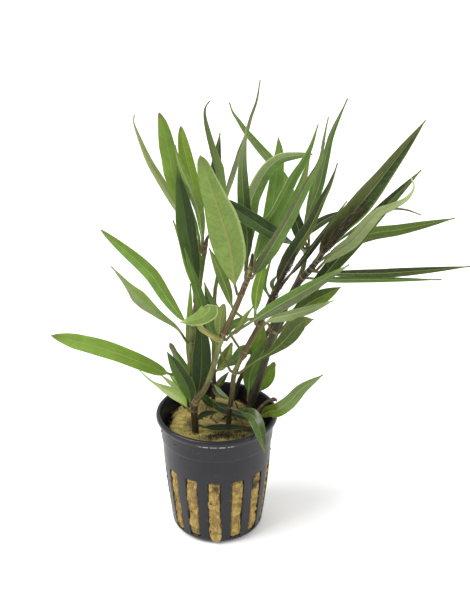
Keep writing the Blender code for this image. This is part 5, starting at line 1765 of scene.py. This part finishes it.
class HYGROPHILA_OT_stage(Operator):
    """Makes the floor, the lights and the camera"""

    bl_idname = "hygrophila.stage"
    bl_label = "Stage"

    def execute(self, context):
        stage = context.scene.hygrophila_stage
        half = stage.floor_size / 2
        corners = [(-half, -half, 0), (half, -half, 0), (half, half, 0), (-half, half, 0)]
        mesh = bpy.data.meshes.new("floor")
        mesh.from_pydata(corners, [], [(0, 1, 2, 3)])
        skin = Skin("pale floor")
        tone = skin.noise(skin.place(), 0.004, 2.0)
        skin.finish(Base_Color=skin.mix(tone, stage.floor, tinted(stage.floor, 0.985)), Roughness=0.9)
        mesh.materials.append(skin.material)
        floor = bpy.data.objects.new("floor", mesh)
        context.scene.collection.objects.link(floor)
        floor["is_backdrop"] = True

        world = bpy.data.worlds.new("studio")
        world.use_nodes = True
        back = world.node_tree.nodes["Background"]
        back.inputs["Color"].default_value = (1.0, 1.0, 1.0, 1.0)
        back.inputs["Strength"].default_value = stage.sky
        context.scene.world = world

        for name, place, size, power in (
            ("left light", (-5.4, -2.0, 7.0), (6.0, 5.0), stage.left_light),
            ("right light", (6.4, -2.0, 3.2), (1.8, 5.0), stage.right_light),
        ):
            lamp = bpy.data.lights.new(name, "AREA")
            lamp.shape = "RECTANGLE"
            lamp.size, lamp.size_y = size
            lamp.energy = power
            light = bpy.data.objects.new(name, lamp)
            light.location = place
            light.rotation_euler = (LIGHT_AIM - Vector(place)).to_track_quat("-Z", "Y").to_euler()
            context.scene.collection.objects.link(light)

        lens = bpy.data.cameras.new("camera")
        lens.sensor_width = SENSOR_WIDTH
        lens.lens = FOCAL_PIXELS / PHOTO_WIDTH * SENSOR_WIDTH
        lens.clip_start = 0.01
        camera = bpy.data.objects.new("camera", lens)
        target = CAMERA_AIM * MM
        back = Vector((0.0, -math.cos(CAMERA_RISE), math.sin(CAMERA_RISE)))
        camera.location = target + back * CAMERA_DISTANCE * MM
        camera.rotation_euler = (target - camera.location).to_track_quat("-Z", "Y").to_euler()
        context.scene.collection.objects.link(camera)
        context.scene.camera = camera
        context.scene.view_settings.view_transform = "Standard"
        return {"FINISHED"}


class HYGROPHILA_PT_sidebar(Panel):
    """Buttons and settings for the plant's pieces"""

    bl_label = "Potted hygrophila"
    bl_idname = "HYGROPHILA_PT_sidebar"
    bl_space_type = "VIEW_3D"
    bl_region_type = "UI"
    bl_category = "Hygrophila"

    def draw(self, context):
        scene = context.scene
        for operators, settings in PANEL_ROWS:
            box = self.layout.box()
            for operator in operators:
                box.operator(operator.bl_idname)
            group = getattr(scene, settings)
            for key in group.bl_rna.properties.keys():
                if key not in ("rna_type", "name"):
                    box.prop(group, key)


SETTINGS = {
    "hygrophila_pot": HYGROPHILA_PG_pot,
    "hygrophila_wool": HYGROPHILA_PG_wool,
    "hygrophila_stems": HYGROPHILA_PG_stems,
    "hygrophila_leaves": HYGROPHILA_PG_leaves,
    "hygrophila_stage": HYGROPHILA_PG_stage,
}
OPERATORS = (
    HYGROPHILA_OT_stage,
    HYGROPHILA_OT_net_pot,
    HYGROPHILA_OT_rockwool,
    HYGROPHILA_OT_twig,
    HYGROPHILA_OT_stems,
    HYGROPHILA_OT_leaves,
    HYGROPHILA_OT_shoots,
)
PANEL_ROWS = (
    ((HYGROPHILA_OT_net_pot,), "hygrophila_pot"),
    ((HYGROPHILA_OT_rockwool,), "hygrophila_wool"),
    ((HYGROPHILA_OT_twig, HYGROPHILA_OT_stems), "hygrophila_stems"),
    ((HYGROPHILA_OT_leaves, HYGROPHILA_OT_shoots), "hygrophila_leaves"),
    ((HYGROPHILA_OT_stage,), "hygrophila_stage"),
)


def register():
    for kind in (*SETTINGS.values(), *OPERATORS, HYGROPHILA_PT_sidebar):
        bpy.utils.register_class(kind)
    for name, kind in SETTINGS.items():
        setattr(bpy.types.Scene, name, PointerProperty(type=kind))


def unregister():
    for name in SETTINGS:
        delattr(bpy.types.Scene, name)
    for kind in reversed((*SETTINGS.values(), *OPERATORS, HYGROPHILA_PT_sidebar)):
        bpy.utils.unregister_class(kind)


def main():
    register()
    for operator in OPERATORS:
        group, _, name = operator.bl_idname.partition(".")
        getattr(getattr(bpy.ops, group), name)()
    boxes = {"solids": SOLIDS_BOX, "pieces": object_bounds()}
    sizes = {name: [[float(c) for c in corner] for corner in box] for name, box in boxes.items()}


if __name__ == "__main__":
    main()
